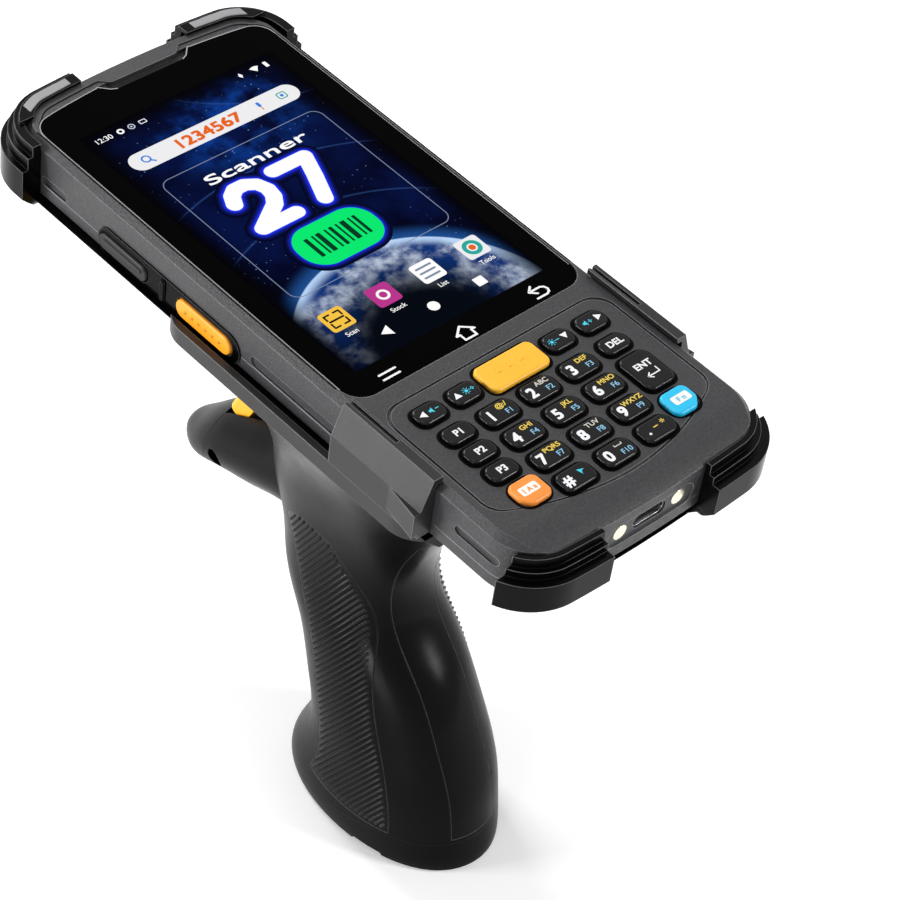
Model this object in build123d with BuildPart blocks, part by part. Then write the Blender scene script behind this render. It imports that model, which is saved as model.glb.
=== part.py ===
"""Handheld barcode data terminal in a clip-on pistol grip.

Frame: the origin is the middle of the flat underside of the butt, +Z points up out of the
screen, +Y points towards the scanning end and +X to the right of someone reading the screen.
All sizes are in millimetres. Depths are measured down from the face of the cover glass.
"""
import os
from math import cos, pi, sin

from build123d import *

os.makedirs("parts", exist_ok=True)

# --- Driving dimensions -------------------------------------------------------------------

# Terminal body
screen_z = 145.0            # height of the cover glass above the resting face
display_y = 47.0            # centre of the display along Y
unit_width = 67.0
unit_depth = 17.0
scan_end_y = 107.0
keypad_end_y = -55.0
keypad_end_bow = 1.6        # how far the middle of each end stands out
scan_end_bow = 2.0
unit_corner = 10.0
split_depth = 10.2          # seam between front and rear housing
shell_wall = 1.8
slope_relief = 1.2          # how far the hollow reaches out over the sloping edge
front_wall = 2.2
rim_height = 0.3            # bezel rim above the glass
edge_bevel = 1.5
rear_bevel = 4.0            # sloping lower edge of the rear housing
chin_run = 8.0
chin_drop = 3.2
chin_middle = (2.9, 0.9)    # run and drop of a point half way down the curved chin
chin_wall_run = 6.0         # the upper hollow starts this far in, behind the chin
cavity_corner = 4.0
cut_over = 1.0              # how far a cut starts outside the face that it enters

# Display stack
glass_width = 62.7
glass_low_y = -3.45
glass_high_y = 102.3
glass_bow = 2.6             # how far the middle of the glass's scan end stands out
glass_thickness = 1.0
glass_corner = 5.0
glass_gap = 0.1
glass_side_gap = 0.25
display_width = 54.5
display_length = 90.0
display_thickness = 1.9
ledge_inset = 3.2           # the bezel's ledge at the scan end starts this far in
ledge_start_y = 92.0
ledge_depth = 0.3
ledge_groove = 0.3          # width and depth of the groove along the ledge
earpiece_tab = (8.8, 11.9, 101.5, 104.2)    # inner and outer half width, inner and outer Y
earpiece_notch = (9.6, 12.4, 99.3, 102.6)   # the same for the notch in the glass
earpiece_round = 1.8

# Keypad
plateau_half_width = 30.0
plateau_top_y = -8.2
plateau_side_end_y = -40.5
plateau_end_y = -48.4
plateau_corner = 5.0
groove_width = 0.55
groove_depth = 0.45
key_pitch_x = 11.0
key_pitch_y = 7.19
key_row_y = -22.2           # first row of number keys
side_key_pitch_y = 6.15
side_key_row_y = -21.6      # first row of programmable keys
side_key_x = 21.3
nav_row_y = -14.2
nav_inner_x = 12.9
nav_outer_x = 22.1
corner_key_x = 20.6
corner_key_y = -41.0
enter_key_y = -30.9
number_key_size = (8.4, 5.1)
small_key_size = (7.0, 4.5)
nav_key_size = (7.0, 4.7)
scan_key_size = (15.6, 7.6)
enter_key_size = (7.6, 10.2)
corner_key_size = (7.3, 6.4)
corner_key_cut = (1.9, 2.2)     # missing outer lower corner
key_round = 1.7
key_height = 1.3            # cap above the keypad face
key_edge_round = 0.6
key_gap = 0.25
key_flange = 0.45
key_flange_thickness = 0.7
key_flange_gap = 0.1
key_travel = 0.8
mat_gap = 0.1
mat_thickness = 1.1
mat_side_gap = 2.0
mat_top_margin = 7.0        # from the centres of the outermost key rows to the mat's edges
mat_low_margin = 6.0
mat_corner = 3.0

# Inside the terminal
board_thickness = 1.0
board_gap = 0.3
board_side_gap = 2.2
board_keypad_gap = 5.5      # from the board's edges to the outer faces of the ends
board_scan_gap = 8.5
board_corner = 4.0
battery_size = (52.0, 80.0, 8.7)
battery_y = 16.0
battery_corner = 2.0
battery_edge_round = 0.6
battery_gap = 0.3
door_thickness = 1.2
door_margin = 2.4
door_corner = 3.0
door_gap = 0.1
dock_depth = 7.4
dock_spacing = 16.0
dock_radius = 1.8
dock_gap = 0.05
dock_length = 3.4
port_bore_length = 12.0     # holes for the contacts and the socket, from outside
port_recess_length = 24.0
port_recess_height = 5.4
port_recess_depth = 0.5
usb_size = (8.94, 3.26)
usb_wall = 0.3
usb_back_wall = 1.0
usb_length = 7.3
usb_face_inset = 0.4
usb_gap = 0.1
usb_notch_gap = (0.3, 2.0)      # room beside and behind the socket in the board
usb_tongue = (6.2, 0.7)
scan_window_size = (24.0, 8.6)
scan_window_thickness = 1.7
scan_window_recess = 0.4
scan_window_depth = 10.4
scan_engine_size = (21.0, 12.0, 8.2)
engine_gap = 0.4
engine_drop = 0.3
lens_spacing = 6.0
lens_radius = 2.6
lens_height = 0.8

# Keys on the sides
side_frame_start_y = 28.0
side_frame_end_y = 73.6
side_frame_height = 7.2
side_frame_depth = 10.2
side_frame_proud = 0.35
volume_key_y = 65.1
volume_key_size = (15.7, 4.2)
side_scan_key_y = 39.1
side_scan_key_size = (17.2, 4.6)
power_key_y = 62.0
power_key_size = (9.0, 4.2)
side_key_proud = 0.9
side_key_travel = 0.5
side_key_gap = 0.3
side_flange_gap = 0.25      # between a side key's flange and its frame
side_flange_thickness = 0.8
side_key_round = 0.5
side_key_flange = 0.7
rocker_rib_radius = 0.6
side_slot_cut = 0.5
side_slots = ((12.0, 26.0, 2.6, 8.6), (89.0, 8.4, 2.2, 8.8), (-41.0, 12.0, 2.2, 6.4))

# Protective boot and corner guards
boot_gap = 0.1
boot_wall = 1.5
boot_floor = 1.4
boot_wall_top = 13.9        # depth of the top of the side walls
boot_bevel = 4.4
boot_cut_start_y = -49.0    # the boot leaves the sides bare beside the keypad
boot_cut_x = 29.0
boot_sled_gap = 0.5
guard_gap = 0.05
guard_overlap = 0.02        # by which a guard's rooms run into each other
guard_layers_keypad = ((1.6, 4.0, 1.4), (4.0, 5.8, 2.6), (5.8, 12.6, 4.6))
guard_layers_scan = ((-0.4, 2.2, 2.3), (2.2, 5.2, 3.5), (5.2, 12.6, 4.9))
guard_foot = 18.2
guard_inner_x = 14.5
guard_keypad_reach = 5.0
guard_scan_reach = 13.5
guard_lip = (-1.1, -0.4, 1.2)   # lip over the edge of the front at the scanning end
guard_lip_reach = 1.8
guard_lip_end_y = 101.0
guard_end_round = 4.5       # rounding of a guard's lower corner at its two ends

# Sled that clips round the terminal
sled_start_y = -29.0
sled_end_y = 51.0
sled_gap = 0.1
sled_wall = 1.7
sled_floor = 3.0
sled_rail_top = 12.6
sled_corner = 8.0
sled_edge_bevel = 4.8
arm_length = 26.0
arm_wall = 1.8
arm_hook = 1.6
arm_lip = 0.8               # flat on top of the arm, outside its inner face
arm_hook_height = 1.3
arm_bevel = 5.5             # depth at which the arm's sloping face ends
arm_hook_gap = 0.15
arm_slot = (0.9, 16.0, 0.7)     # width, length and depth of the slot along the hook
arm_slot_x = 1.0            # from the hook's tip to the middle of the slot
arm_slot_start = 6.0        # from the arm's end to the middle of the slot
arm_tip_length = 9.0
arm_tip_flare = 1.6
arm_tip_height = 6.0
arm_tip_root = 1.0
tray_screw_x = 14.0
tray_screw_y = 14.0         # from the sled's keypad end

# Pistol grip
grip_skin = 2.6
butt_front_z = 3.4          # height of the butt cap's seam at the front
butt_back_z = 8.7
butt_slope_y = 12.0         # the seam slopes between plus and minus this
butt_floor = 3.0
butt_lip_height = 4.0
butt_lip_wall = 1.2
butt_edge_bevel = 0.9
lanyard_x = 17.5
lanyard_y = -10.0
lanyard_size = (3.2, 8.0, 1.7)
seam_gap = 0.05
palm_z = 33.0
waist_z = 59.0
waist_depth = 71.0          # depth of the narrowest part, below the glass
neck_depth = 50.0
shoulder_depth = 32.0
deck_depth = 27.0           # underside of the closed deck below the sled
panel_thickness = 1.3
panel_gap = 0.1
panel_low_z = 9.4
strap_width = 13.0
strap_reach_y = 10.0        # the strap's cut reaches this far forward from the back
strap_low_z = 9.9
strap_top_depth = 58.0
guard_cap_y = 62.0          # seam of the cap on the finger guard

# Trigger
pivot_y = 44.0
pivot_depth = 29.0
pin_radius = 1.5
pin_gap = 0.05
pin_length = 20.0
trigger_width = 9.0
trigger_gap = 0.4
trigger_hub = 4.0
trigger_edge_round = 1.2
trigger_tip_depth = 68.0
trigger_tip_y = 61.0
trigger_arm = 10.0
trigger_arm_height = 3.6
spring_wire = 0.3
spring_radius = 1.9
spring_turns = 4
slot_floor_gap = 2.0        # below the trigger's tip
slot_back_gap = 3.0         # behind the trigger's arm
switch_size = (6.0, 6.5, 12.8)
switch_pivot_y = 5.0        # from the switch's middle to the trigger's pivot
switch_plunger_radius = 1.2
switch_plunger_length = 1.6
switch_rib_thickness = 2.2
switch_rib_gap = 0.1
switch_rib_margin = 4.0     # above and below the switch
pivot_boss_wall = 2.5
pivot_boss_reach = 2.0      # past the pin's ends

# Grip screws
screw_radius = 1.3
screw_head_radius = 2.3
screw_head_height = 1.6
screw_gap = 0.05
boss_radius = 3.6
screw_length = 12.0
screw_hole_extra = 1.0
screw_head_x = 9.0          # where the heads seat, to the left of the middle
guard_screw_head_x = 7.0
guard_screw_inset = 4.2     # from the finger guard's seam
guard_screw_depth = 77.2
screw_socket_radius = 1.2
screw_socket_depth = 0.9
tray_screw_radius = 1.5
tray_screw_head_radius = 2.8
tray_screw_length = 6.5

# A length past every face of the object, for cuts that go right through.
beyond = 80.0

# --- Derived places -----------------------------------------------------------------------


def below(depth):
    """Height above the resting face of a depth below the cover glass."""
    return screen_z - depth


unit_back = unit_depth
slope_inset = shell_wall + rear_bevel - slope_relief
boot_bottom = unit_back + boot_gap + boot_floor
sled_bottom = boot_bottom + sled_floor
side_x = unit_width / 2
boot_side_x = side_x + boot_gap + boot_wall
rail_x = boot_side_x + sled_gap
side_key_inner_x = side_x - shell_wall - side_flange_gap
rocker_axis_x = side_key_inner_x - side_flange_thickness
key_flange_depth = front_wall + key_flange_gap
mat_depth = key_flange_depth + key_flange_thickness + key_travel + mat_gap
board_depth = mat_depth + mat_thickness + board_gap
battery_depth = board_depth + board_thickness + board_gap
door_depth = unit_back - door_thickness


def terminal_outline(height, growth=0.0):
    """Plan outline of the terminal at a height, grown or shrunk evenly."""
    half = side_x + growth
    low = keypad_end_y - growth
    high = scan_end_y + growth - scan_end_bow
    with BuildSketch(Plane.XY.offset(height)) as outline:
        with BuildLine():
            Line((-half, low + keypad_end_bow), (-half, high))
            ThreePointArc((-half, high), (0, high + scan_end_bow), (half, high))
            Line((half, high), (half, low + keypad_end_bow))
            ThreePointArc((half, low + keypad_end_bow), (0, low), (-half, low + keypad_end_bow))
        make_face()
        fillet(outline.vertices(), unit_corner + growth)
    return outline.sketch


def bevelled_envelope(bottom_depth, growth, bevel, top_depth=0.0):
    """The terminal's outline between two depths, with a sloping lower edge."""
    with BuildPart() as envelope:
        extrude(terminal_outline(below(bottom_depth), growth), amount=bottom_depth - top_depth)
        chamfer(envelope.faces().sort_by(Axis.Z)[0].edges(), bevel)
    return envelope.part


def plate(centre_x, centre_y, top_depth, size_x, size_y, thickness, corner):
    """A flat plate with rounded corners, hanging down from a depth."""
    with BuildPart() as body:
        with BuildSketch(Plane.XY.offset(below(top_depth))):
            with Locations((centre_x, centre_y)):
                RectangleRounded(size_x, size_y, corner)
        extrude(amount=-thickness)
    return body.part


def side_stadium(centre_y, length, height, from_x, to_x, centre_depth):
    """A rounded bar lying along Y, from one X to another."""
    with BuildPart() as body:
        with BuildSketch(Plane.YZ.offset(from_x)):
            with Locations((centre_y, below(centre_depth))):
                SlotOverall(length, height)
        extrude(amount=to_x - from_x)
    return body.part


def end_stadium(centre_x, length, height, from_y, to_y, centre_depth):
    """A rounded bar lying along X, from one Y to another."""
    with BuildPart() as body:
        with BuildSketch(Plane.XZ.offset(-from_y)):
            with Locations((centre_x, below(centre_depth))):
                SlotOverall(length, height)
        extrude(amount=from_y - to_y)
    return body.part


def glass_outline(height, growth):
    """Outline of the cover glass, with its bowed scan end."""
    half = glass_width / 2 + growth
    low = glass_low_y - growth
    high = glass_high_y + growth
    with BuildSketch(Plane.XY.offset(height)) as outline:
        with BuildLine():
            Polyline((-half, high - glass_bow), (-half, low), (half, low), (half, high - glass_bow))
            ThreePointArc((half, high - glass_bow), (0, high), (-half, high - glass_bow))
        make_face()
        fillet(outline.vertices(), glass_corner + growth)
    return outline.sketch


def earpiece_shape(height, sizes):
    """Trapezoid over the earpiece, with its two inner corners rounded."""
    inner_half, outer_half, inner_y, outer_y = sizes
    with BuildSketch(Plane.XY.offset(height)) as shape:
        Polygon((-outer_half, outer_y), (-inner_half, inner_y), (inner_half, inner_y),
                (outer_half, outer_y), align=None)
        fillet(shape.vertices().group_by(Axis.Y)[0], earpiece_round)
    return shape.sketch


def plateau_outline(height, growth):
    """Outline of the keypad area, with its bowed lower edge."""
    half = plateau_half_width + growth
    top = plateau_top_y + growth
    with BuildSketch(Plane.XY.offset(height)) as outline:
        with BuildLine():
            Polyline((-half, plateau_side_end_y), (-half, top), (half, top),
                     (half, plateau_side_end_y))
            ThreePointArc((half, plateau_side_end_y), (0, plateau_end_y - growth),
                          (-half, plateau_side_end_y))
        make_face()
        fillet(outline.vertices(), plateau_corner)
    return outline.sketch


def save(part, label):
    """Label a finished piece and write it as a STEP file."""
    part.label = label
    export_step(part, f"parts/{label}.step")


# --- Keys: name, centre, size, corner cut on the outer lower side --------------------------

key_places = {
    "key_nav_left": (-nav_outer_x, nav_row_y, nav_key_size),
    "key_nav_up": (-nav_inner_x, nav_row_y, nav_key_size),
    "key_scan": (0, nav_row_y, scan_key_size),
    "key_nav_down": (nav_inner_x, nav_row_y, nav_key_size),
    "key_nav_right": (nav_outer_x, nav_row_y, nav_key_size),
    "key_delete": (side_key_x, side_key_row_y, small_key_size),
    "key_enter": (side_key_x, enter_key_y, enter_key_size),
    "key_shift": (-corner_key_x, corner_key_y, corner_key_size),
    "key_function": (corner_key_x, corner_key_y, corner_key_size),
}
for number in range(3):
    side_y = side_key_row_y - number * side_key_pitch_y
    key_places[f"key_p{number + 1}"] = (-side_key_x, side_y, small_key_size)
number_grid = (("1", "2", "3"), ("4", "5", "6"), ("7", "8", "9"), ("hash", "0", "dot"))
for row, names in enumerate(number_grid):
    for column, name in enumerate(names):
        key_places[f"key_{name}"] = ((column - 1) * key_pitch_x, key_row_y - row * key_pitch_y,
                                     number_key_size)
corner_keys = ("key_shift", "key_function")


def key_outline(label, growth, height):
    """Plan outline of one key, grown by an amount."""
    centre_x, centre_y, (width, length) = key_places[label]
    half_x = width / 2 + growth
    half_y = length / 2 + growth
    with BuildSketch(Plane.XY.offset(height)) as outline:
        with Locations((centre_x, centre_y)):
            if label in corner_keys:
                outer = 1 if centre_x > 0 else -1
                Polygon((-outer * half_x, half_y), (outer * half_x, half_y),
                        (outer * half_x, -half_y + corner_key_cut[1]),
                        (outer * (half_x - corner_key_cut[0]), -half_y), (-outer * half_x, -half_y),
                        align=None)
            else:
                Rectangle(2 * half_x, 2 * half_y)
        fillet(outline.vertices(), key_round + growth)
    return outline.sketch


def build_key(label):
    """A key: domed cap, stem through the housing and a flange that keeps it in."""
    with BuildPart() as key:
        extrude(key_outline(label, 0, below(key_flange_depth)), amount=key_flange_depth + key_height)
        fillet(key.faces().sort_by(Axis.Z)[-1].edges(), key_edge_round)
        flange_z = below(key_flange_depth + key_flange_thickness)
        extrude(key_outline(label, key_gap + key_flange, flange_z), amount=key_flange_thickness)
    return key.part


# --- Side keys ----------------------------------------------------------------------------


def build_side_key(centre_y, size, side):
    """A side key with a flange behind its frame; side is -1 for left and 1 for right."""
    length, height = size
    inner_x = side * side_key_inner_x
    with BuildPart() as key:
        add(side_stadium(centre_y, length, height, inner_x, side * (side_x + side_key_proud),
                         side_frame_depth))
        fillet(key.faces().sort_by(Axis.X)[0 if side < 0 else -1].edges(), side_key_round)
        add(side_stadium(centre_y, length + 2 * side_key_flange, height + 2 * side_key_flange,
                         inner_x - side * side_flange_thickness, inner_x, side_frame_depth))
    return key.part


def side_frame_bar(from_x, to_x):
    """Rounded bar with the outline of the frames round the side keys."""
    return side_stadium((side_frame_end_y + side_frame_start_y) / 2,
                        side_frame_end_y - side_frame_start_y, side_frame_height, from_x, to_x,
                        side_frame_depth)


def build_side_frame(side, openings):
    """The black frame round the side keys on one side."""
    inner_x = side * (side_x - shell_wall)
    outer_x = side * (side_x + side_frame_proud)
    with BuildPart() as frame:
        add(side_frame_bar(inner_x, outer_x))
        for key_y, (key_length, key_width) in openings:
            add(side_stadium(key_y, key_length + 2 * side_key_gap, key_width + 2 * side_key_gap,
                             inner_x, outer_x, side_frame_depth), mode=Mode.SUBTRACT)
    return frame.part


# The cut behind each frame leaves room for the flanges over their whole travel.
side_cut_x = side_key_inner_x - side_flange_thickness - side_key_travel - key_gap
side_frame_cut = (side_frame_bar(-side_x - cut_over, -side_cut_x),
                  side_frame_bar(side_cut_x, side_x + cut_over))

# --- Housings -----------------------------------------------------------------------------

scan_window_cut = end_stadium(0, scan_window_size[0], scan_window_size[1],
                              scan_end_y - shell_wall - cut_over, scan_end_y + cut_over,
                              scan_window_depth)
top_z = screen_z + rim_height


def bezel_ledge(height, inset):
    """Plan outline of the bezel's ledge at the scan end, without the earpiece tab."""
    with BuildSketch(Plane.XY.offset(height)) as ledge:
        add(terminal_outline(height, -inset))
        with Locations((0, ledge_start_y + beyond / 2)):
            Rectangle(2 * beyond, beyond, mode=Mode.INTERSECT)
        add(earpiece_shape(height, earpiece_tab), mode=Mode.SUBTRACT)
    return ledge.sketch


with BuildPart() as front_housing:
    extrude(terminal_outline(below(split_depth)), amount=split_depth + rim_height)
    chamfer(front_housing.faces().sort_by(Axis.Z)[-1].edges(), edge_bevel)
    # The chin slopes down to the keypad end.
    with BuildSketch(Plane.YZ):
        with BuildLine():
            chin_start = (keypad_end_y + chin_run, top_z)
            chin_end = (keypad_end_y - cut_over, below(chin_drop))
            ThreePointArc(chin_start, (keypad_end_y + chin_middle[0], below(chin_middle[1])),
                          chin_end)
            Polyline(chin_end, (keypad_end_y - cut_over, top_z + cut_over),
                     (keypad_end_y + chin_run, top_z + cut_over), chin_start)
        make_face()
    extrude(amount=unit_width, both=True, mode=Mode.SUBTRACT)
    # Hollow inside, in two levels so that the chin keeps its wall.
    lower_height = split_depth - chin_drop - shell_wall
    extrude(terminal_outline(below(split_depth), -shell_wall), amount=lower_height,
            mode=Mode.SUBTRACT)
    with BuildSketch(Plane.XY.offset(below(split_depth))):
        cavity_start = keypad_end_y + chin_wall_run
        cavity_end = scan_end_y - shell_wall - scan_end_bow
        with Locations((0, (cavity_start + cavity_end) / 2)):
            RectangleRounded(unit_width - 2 * shell_wall, cavity_end - cavity_start, cavity_corner)
    extrude(amount=split_depth - front_wall, mode=Mode.SUBTRACT)
    # Pocket for the cover glass, past which the earpiece tab stands, and the display's window.
    pocket_depth = glass_thickness + glass_gap
    with BuildSketch(Plane.XY.offset(below(pocket_depth))):
        add(glass_outline(below(pocket_depth), glass_side_gap))
        add(earpiece_shape(below(pocket_depth), earpiece_tab), mode=Mode.SUBTRACT)
    extrude(amount=pocket_depth + rim_height, mode=Mode.SUBTRACT)
    with BuildSketch(Plane.XY.offset(below(front_wall))):
        with Locations((0, display_y)):
            Rectangle(display_width + 2 * glass_gap, display_length + 2 * glass_gap)
    extrude(amount=front_wall, mode=Mode.SUBTRACT)
    # Lower ledge at the scan end, with a groove along its outer edge.
    extrude(bezel_ledge(top_z - ledge_depth, ledge_inset), amount=ledge_depth, mode=Mode.SUBTRACT)
    groove_z = top_z - ledge_depth - ledge_groove
    with BuildSketch(Plane.XY.offset(groove_z)):
        add(bezel_ledge(groove_z, ledge_inset))
        add(terminal_outline(groove_z, -ledge_inset - ledge_groove), mode=Mode.SUBTRACT)
    extrude(amount=ledge_groove, mode=Mode.SUBTRACT)
    # Groove round the keypad area.
    with BuildSketch(Plane.XY.offset(top_z - groove_depth)):
        add(plateau_outline(0, groove_width / 2))
        add(plateau_outline(0, -groove_width / 2), mode=Mode.SUBTRACT)
    extrude(amount=groove_depth, mode=Mode.SUBTRACT)
    # Openings for the keys.
    for label in key_places:
        extrude(key_outline(label, key_gap, below(front_wall)), amount=front_wall + rim_height,
                mode=Mode.SUBTRACT)
    # Side key frames, scan window, port recess, contacts and charging socket.
    add(side_frame_cut, mode=Mode.SUBTRACT)
    add(scan_window_cut, mode=Mode.SUBTRACT)
    port_start_y = keypad_end_y - cut_over
    add(end_stadium(0, port_recess_length, port_recess_height, port_start_y,
                    keypad_end_y + port_recess_depth, dock_depth), mode=Mode.SUBTRACT)
    add(end_stadium(0, usb_size[0] + 2 * usb_gap, usb_size[1] + 2 * usb_gap, port_start_y,
                    port_start_y + port_bore_length, dock_depth), mode=Mode.SUBTRACT)
    with BuildSketch(Plane.XZ.offset(-port_start_y)):
        with Locations((-dock_spacing / 2, below(dock_depth)), (dock_spacing / 2, below(dock_depth))):
            Circle(dock_radius)
    extrude(amount=-port_bore_length, mode=Mode.SUBTRACT)
    # Finger grooves along both sides.
    for side in (-1, 1):
        for slot_y, slot_length, slot_height, slot_depth in side_slots:
            add(side_stadium(slot_y, slot_length, slot_height, side * (side_x - side_slot_cut),
                             side * (side_x + cut_over), slot_depth), mode=Mode.SUBTRACT)

with BuildPart() as rear_housing:
    add(bevelled_envelope(unit_back, 0, rear_bevel, split_depth))
    # Hollow inside, narrower behind the sloping edge.
    extrude(terminal_outline(below(unit_back - rear_bevel), -shell_wall),
            amount=unit_back - rear_bevel - split_depth, mode=Mode.SUBTRACT)
    extrude(terminal_outline(below(unit_back - shell_wall), -slope_inset),
            amount=rear_bevel - shell_wall, mode=Mode.SUBTRACT)
    add(side_frame_cut, mode=Mode.SUBTRACT)
    add(scan_window_cut, mode=Mode.SUBTRACT)
    # Battery bay: an opening with a ledge for its door.
    with BuildSketch(Plane.XY.offset(below(unit_back))):
        with Locations((0, battery_y)):
            RectangleRounded(battery_size[0] + 2 * door_margin, battery_size[1] + 2 * door_margin,
                             door_corner)
    extrude(amount=door_thickness, mode=Mode.SUBTRACT)
    with BuildSketch(Plane.XY.offset(below(unit_back))):
        with Locations((0, battery_y)):
            RectangleRounded(battery_size[0] + 2 * battery_gap, battery_size[1] + 2 * battery_gap,
                             battery_corner)
    extrude(amount=unit_back - split_depth, mode=Mode.SUBTRACT)

save(front_housing.part, "front_housing")
save(rear_housing.part, "rear_housing")

with BuildPart() as touch_glass:
    glass_back_z = below(glass_thickness)
    with BuildSketch(Plane.XY.offset(glass_back_z)):
        add(glass_outline(glass_back_z, 0))
        add(earpiece_shape(glass_back_z, earpiece_notch), mode=Mode.SUBTRACT)
    extrude(amount=glass_thickness)
save(touch_glass.part, "touch_glass")

display_panel = plate(0, display_y, glass_thickness + glass_gap / 2, display_width, display_length,
                      display_thickness, 1)
save(display_panel, "display_panel")

for label in key_places:
    save(build_key(label), label)

# Keypad mat, circuit board and battery.
mat_top_y = nav_row_y + mat_top_margin
mat_end_y = corner_key_y - mat_low_margin
keypad_mat = plate(0, (mat_top_y + mat_end_y) / 2, mat_depth,
                   unit_width - 2 * (shell_wall + mat_side_gap), mat_top_y - mat_end_y,
                   mat_thickness, mat_corner)
save(keypad_mat, "keypad_mat")

board_low_y = keypad_end_y + board_keypad_gap
board_high_y = scan_end_y - board_scan_gap
with BuildPart() as main_board:
    add(plate(0, (board_low_y + board_high_y) / 2, board_depth,
              unit_width - 2 * (shell_wall + board_side_gap), board_high_y - board_low_y,
              board_thickness, board_corner))
    # The charging socket sits in a notch in the board's edge.
    with BuildSketch(Plane.XY.offset(below(board_depth + board_thickness))):
        with Locations((0, keypad_end_y)):
            Rectangle(usb_size[0] + 2 * usb_notch_gap[0], 2 * (usb_length + usb_notch_gap[1]))
    extrude(amount=board_thickness, mode=Mode.SUBTRACT)
save(main_board.part, "main_board")

with BuildPart() as battery_pack:
    with BuildSketch(Plane.XY.offset(below(battery_depth))):
        with Locations((0, battery_y)):
            RectangleRounded(battery_size[0], battery_size[1], battery_corner)
    extrude(amount=-battery_size[2])
    fillet(battery_pack.edges().filter_by(GeomType.LINE).filter_by(Axis.Y), battery_edge_round)
save(battery_pack.part, "battery_pack")

door_growth = 2 * (door_margin - door_gap)
battery_door = plate(0, battery_y, door_depth + door_gap / 2, battery_size[0] + door_growth,
                     battery_size[1] + door_growth, door_thickness - door_gap / 2,
                     door_corner - door_gap)
save(battery_door, "battery_door")

# Scan window and the imager behind it.
scan_window = end_stadium(0, scan_window_size[0], scan_window_size[1],
                          scan_end_y - scan_window_thickness, scan_end_y - scan_window_recess,
                          scan_window_depth)
save(scan_window, "scan_window")

with BuildPart() as scan_engine:
    engine_front_y = scan_end_y - slope_inset - engine_gap
    with BuildSketch(Plane.XZ.offset(-engine_front_y)):
        with Locations((0, below(scan_window_depth + engine_drop))):
            Rectangle(scan_engine_size[0], scan_engine_size[2])
    extrude(amount=scan_engine_size[1])
    with BuildSketch(Plane.XZ.offset(-engine_front_y)):
        with Locations((-lens_spacing, below(scan_window_depth)), (0, below(scan_window_depth)),
                       (lens_spacing, below(scan_window_depth))):
            Circle(lens_radius)
    extrude(amount=-lens_height)
save(scan_engine.part, "scan_engine")

# Charging contacts and the socket between them.
with BuildPart() as dock_contacts:
    with BuildSketch(Plane.XZ.offset(-keypad_end_y - port_recess_depth)):
        with Locations((-dock_spacing / 2, below(dock_depth)), (dock_spacing / 2, below(dock_depth))):
            Circle(dock_radius - dock_gap)
    extrude(amount=-dock_length)
save(dock_contacts.part, "dock_contacts")

with BuildPart() as usb_socket:
    usb_face_y = keypad_end_y + port_recess_depth + usb_face_inset
    add(end_stadium(0, usb_size[0], usb_size[1], usb_face_y, usb_face_y + usb_length, dock_depth))
    add(end_stadium(0, usb_size[0] - 2 * usb_wall, usb_size[1] - 2 * usb_wall, usb_face_y,
                    usb_face_y + usb_length - usb_back_wall, dock_depth), mode=Mode.SUBTRACT)
    with BuildSketch(Plane.XZ.offset(-usb_face_y - usb_length)):
        with Locations((0, below(dock_depth))):
            Rectangle(usb_tongue[0], usb_tongue[1])
    extrude(amount=usb_length - usb_back_wall)
save(usb_socket.part, "usb_socket")

# --- Keys and frames on the sides ---------------------------------------------------------

with BuildPart() as volume_rocker:
    add(build_side_key(volume_key_y, volume_key_size, -1))
    # Rounded rib behind the key's middle, on which it rocks.
    rib_height = volume_key_size[1]
    with BuildSketch(Plane.XY.offset(below(side_frame_depth) - rib_height / 2)):
        with Locations((-rocker_axis_x, volume_key_y)):
            Circle(rocker_rib_radius)
    extrude(amount=rib_height)
save(volume_rocker.part, "volume_rocker")
save(build_side_key(side_scan_key_y, side_scan_key_size, -1), "scan_key_left")
save(build_side_key(side_scan_key_y, side_scan_key_size, 1), "scan_key_right")
save(build_side_key(power_key_y, power_key_size, 1), "power_key")
left_openings = ((volume_key_y, volume_key_size), (side_scan_key_y, side_scan_key_size))
right_openings = ((power_key_y, power_key_size), (side_scan_key_y, side_scan_key_size))
with BuildPart() as side_key_frames:
    add(build_side_frame(-1, left_openings))
    add(build_side_frame(1, right_openings))
save(side_key_frames.part, "side_key_frames")

# --- Boot and corner guards ---------------------------------------------------------------

with BuildPart() as boot_frame:
    add(bevelled_envelope(boot_bottom, boot_gap + boot_wall, boot_bevel, boot_wall_top))
    add(bevelled_envelope(unit_back + boot_gap, boot_gap, rear_bevel), mode=Mode.SUBTRACT)
    # The ends stay open for the scan window and the port, and the sides beside the keypad.
    with BuildSketch(Plane.XY.offset(below(unit_back + boot_gap))):
        with Locations((0, (scan_end_y + keypad_end_y) / 2)):
            Rectangle(2 * guard_inner_x, scan_end_y - keypad_end_y + 2 * beyond)
    extrude(amount=unit_back, mode=Mode.SUBTRACT)
    with BuildSketch(Plane.XY.offset(below(boot_bottom))):
        cut_end_y = sled_start_y - boot_sled_gap
        for side in (-1, 1):
            with Locations((side * (boot_cut_x + beyond / 2), (boot_cut_start_y + cut_end_y) / 2)):
                Rectangle(beyond, cut_end_y - boot_cut_start_y)
    extrude(amount=unit_back, mode=Mode.SUBTRACT)
save(boot_frame.part, "boot_frame")

guard_room_z = below(boot_wall_top - guard_overlap)
guard_boot_room = bevelled_envelope(boot_bottom + guard_gap, boot_gap + boot_wall + guard_gap,
                                    boot_bevel, boot_wall_top - guard_overlap)


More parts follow.
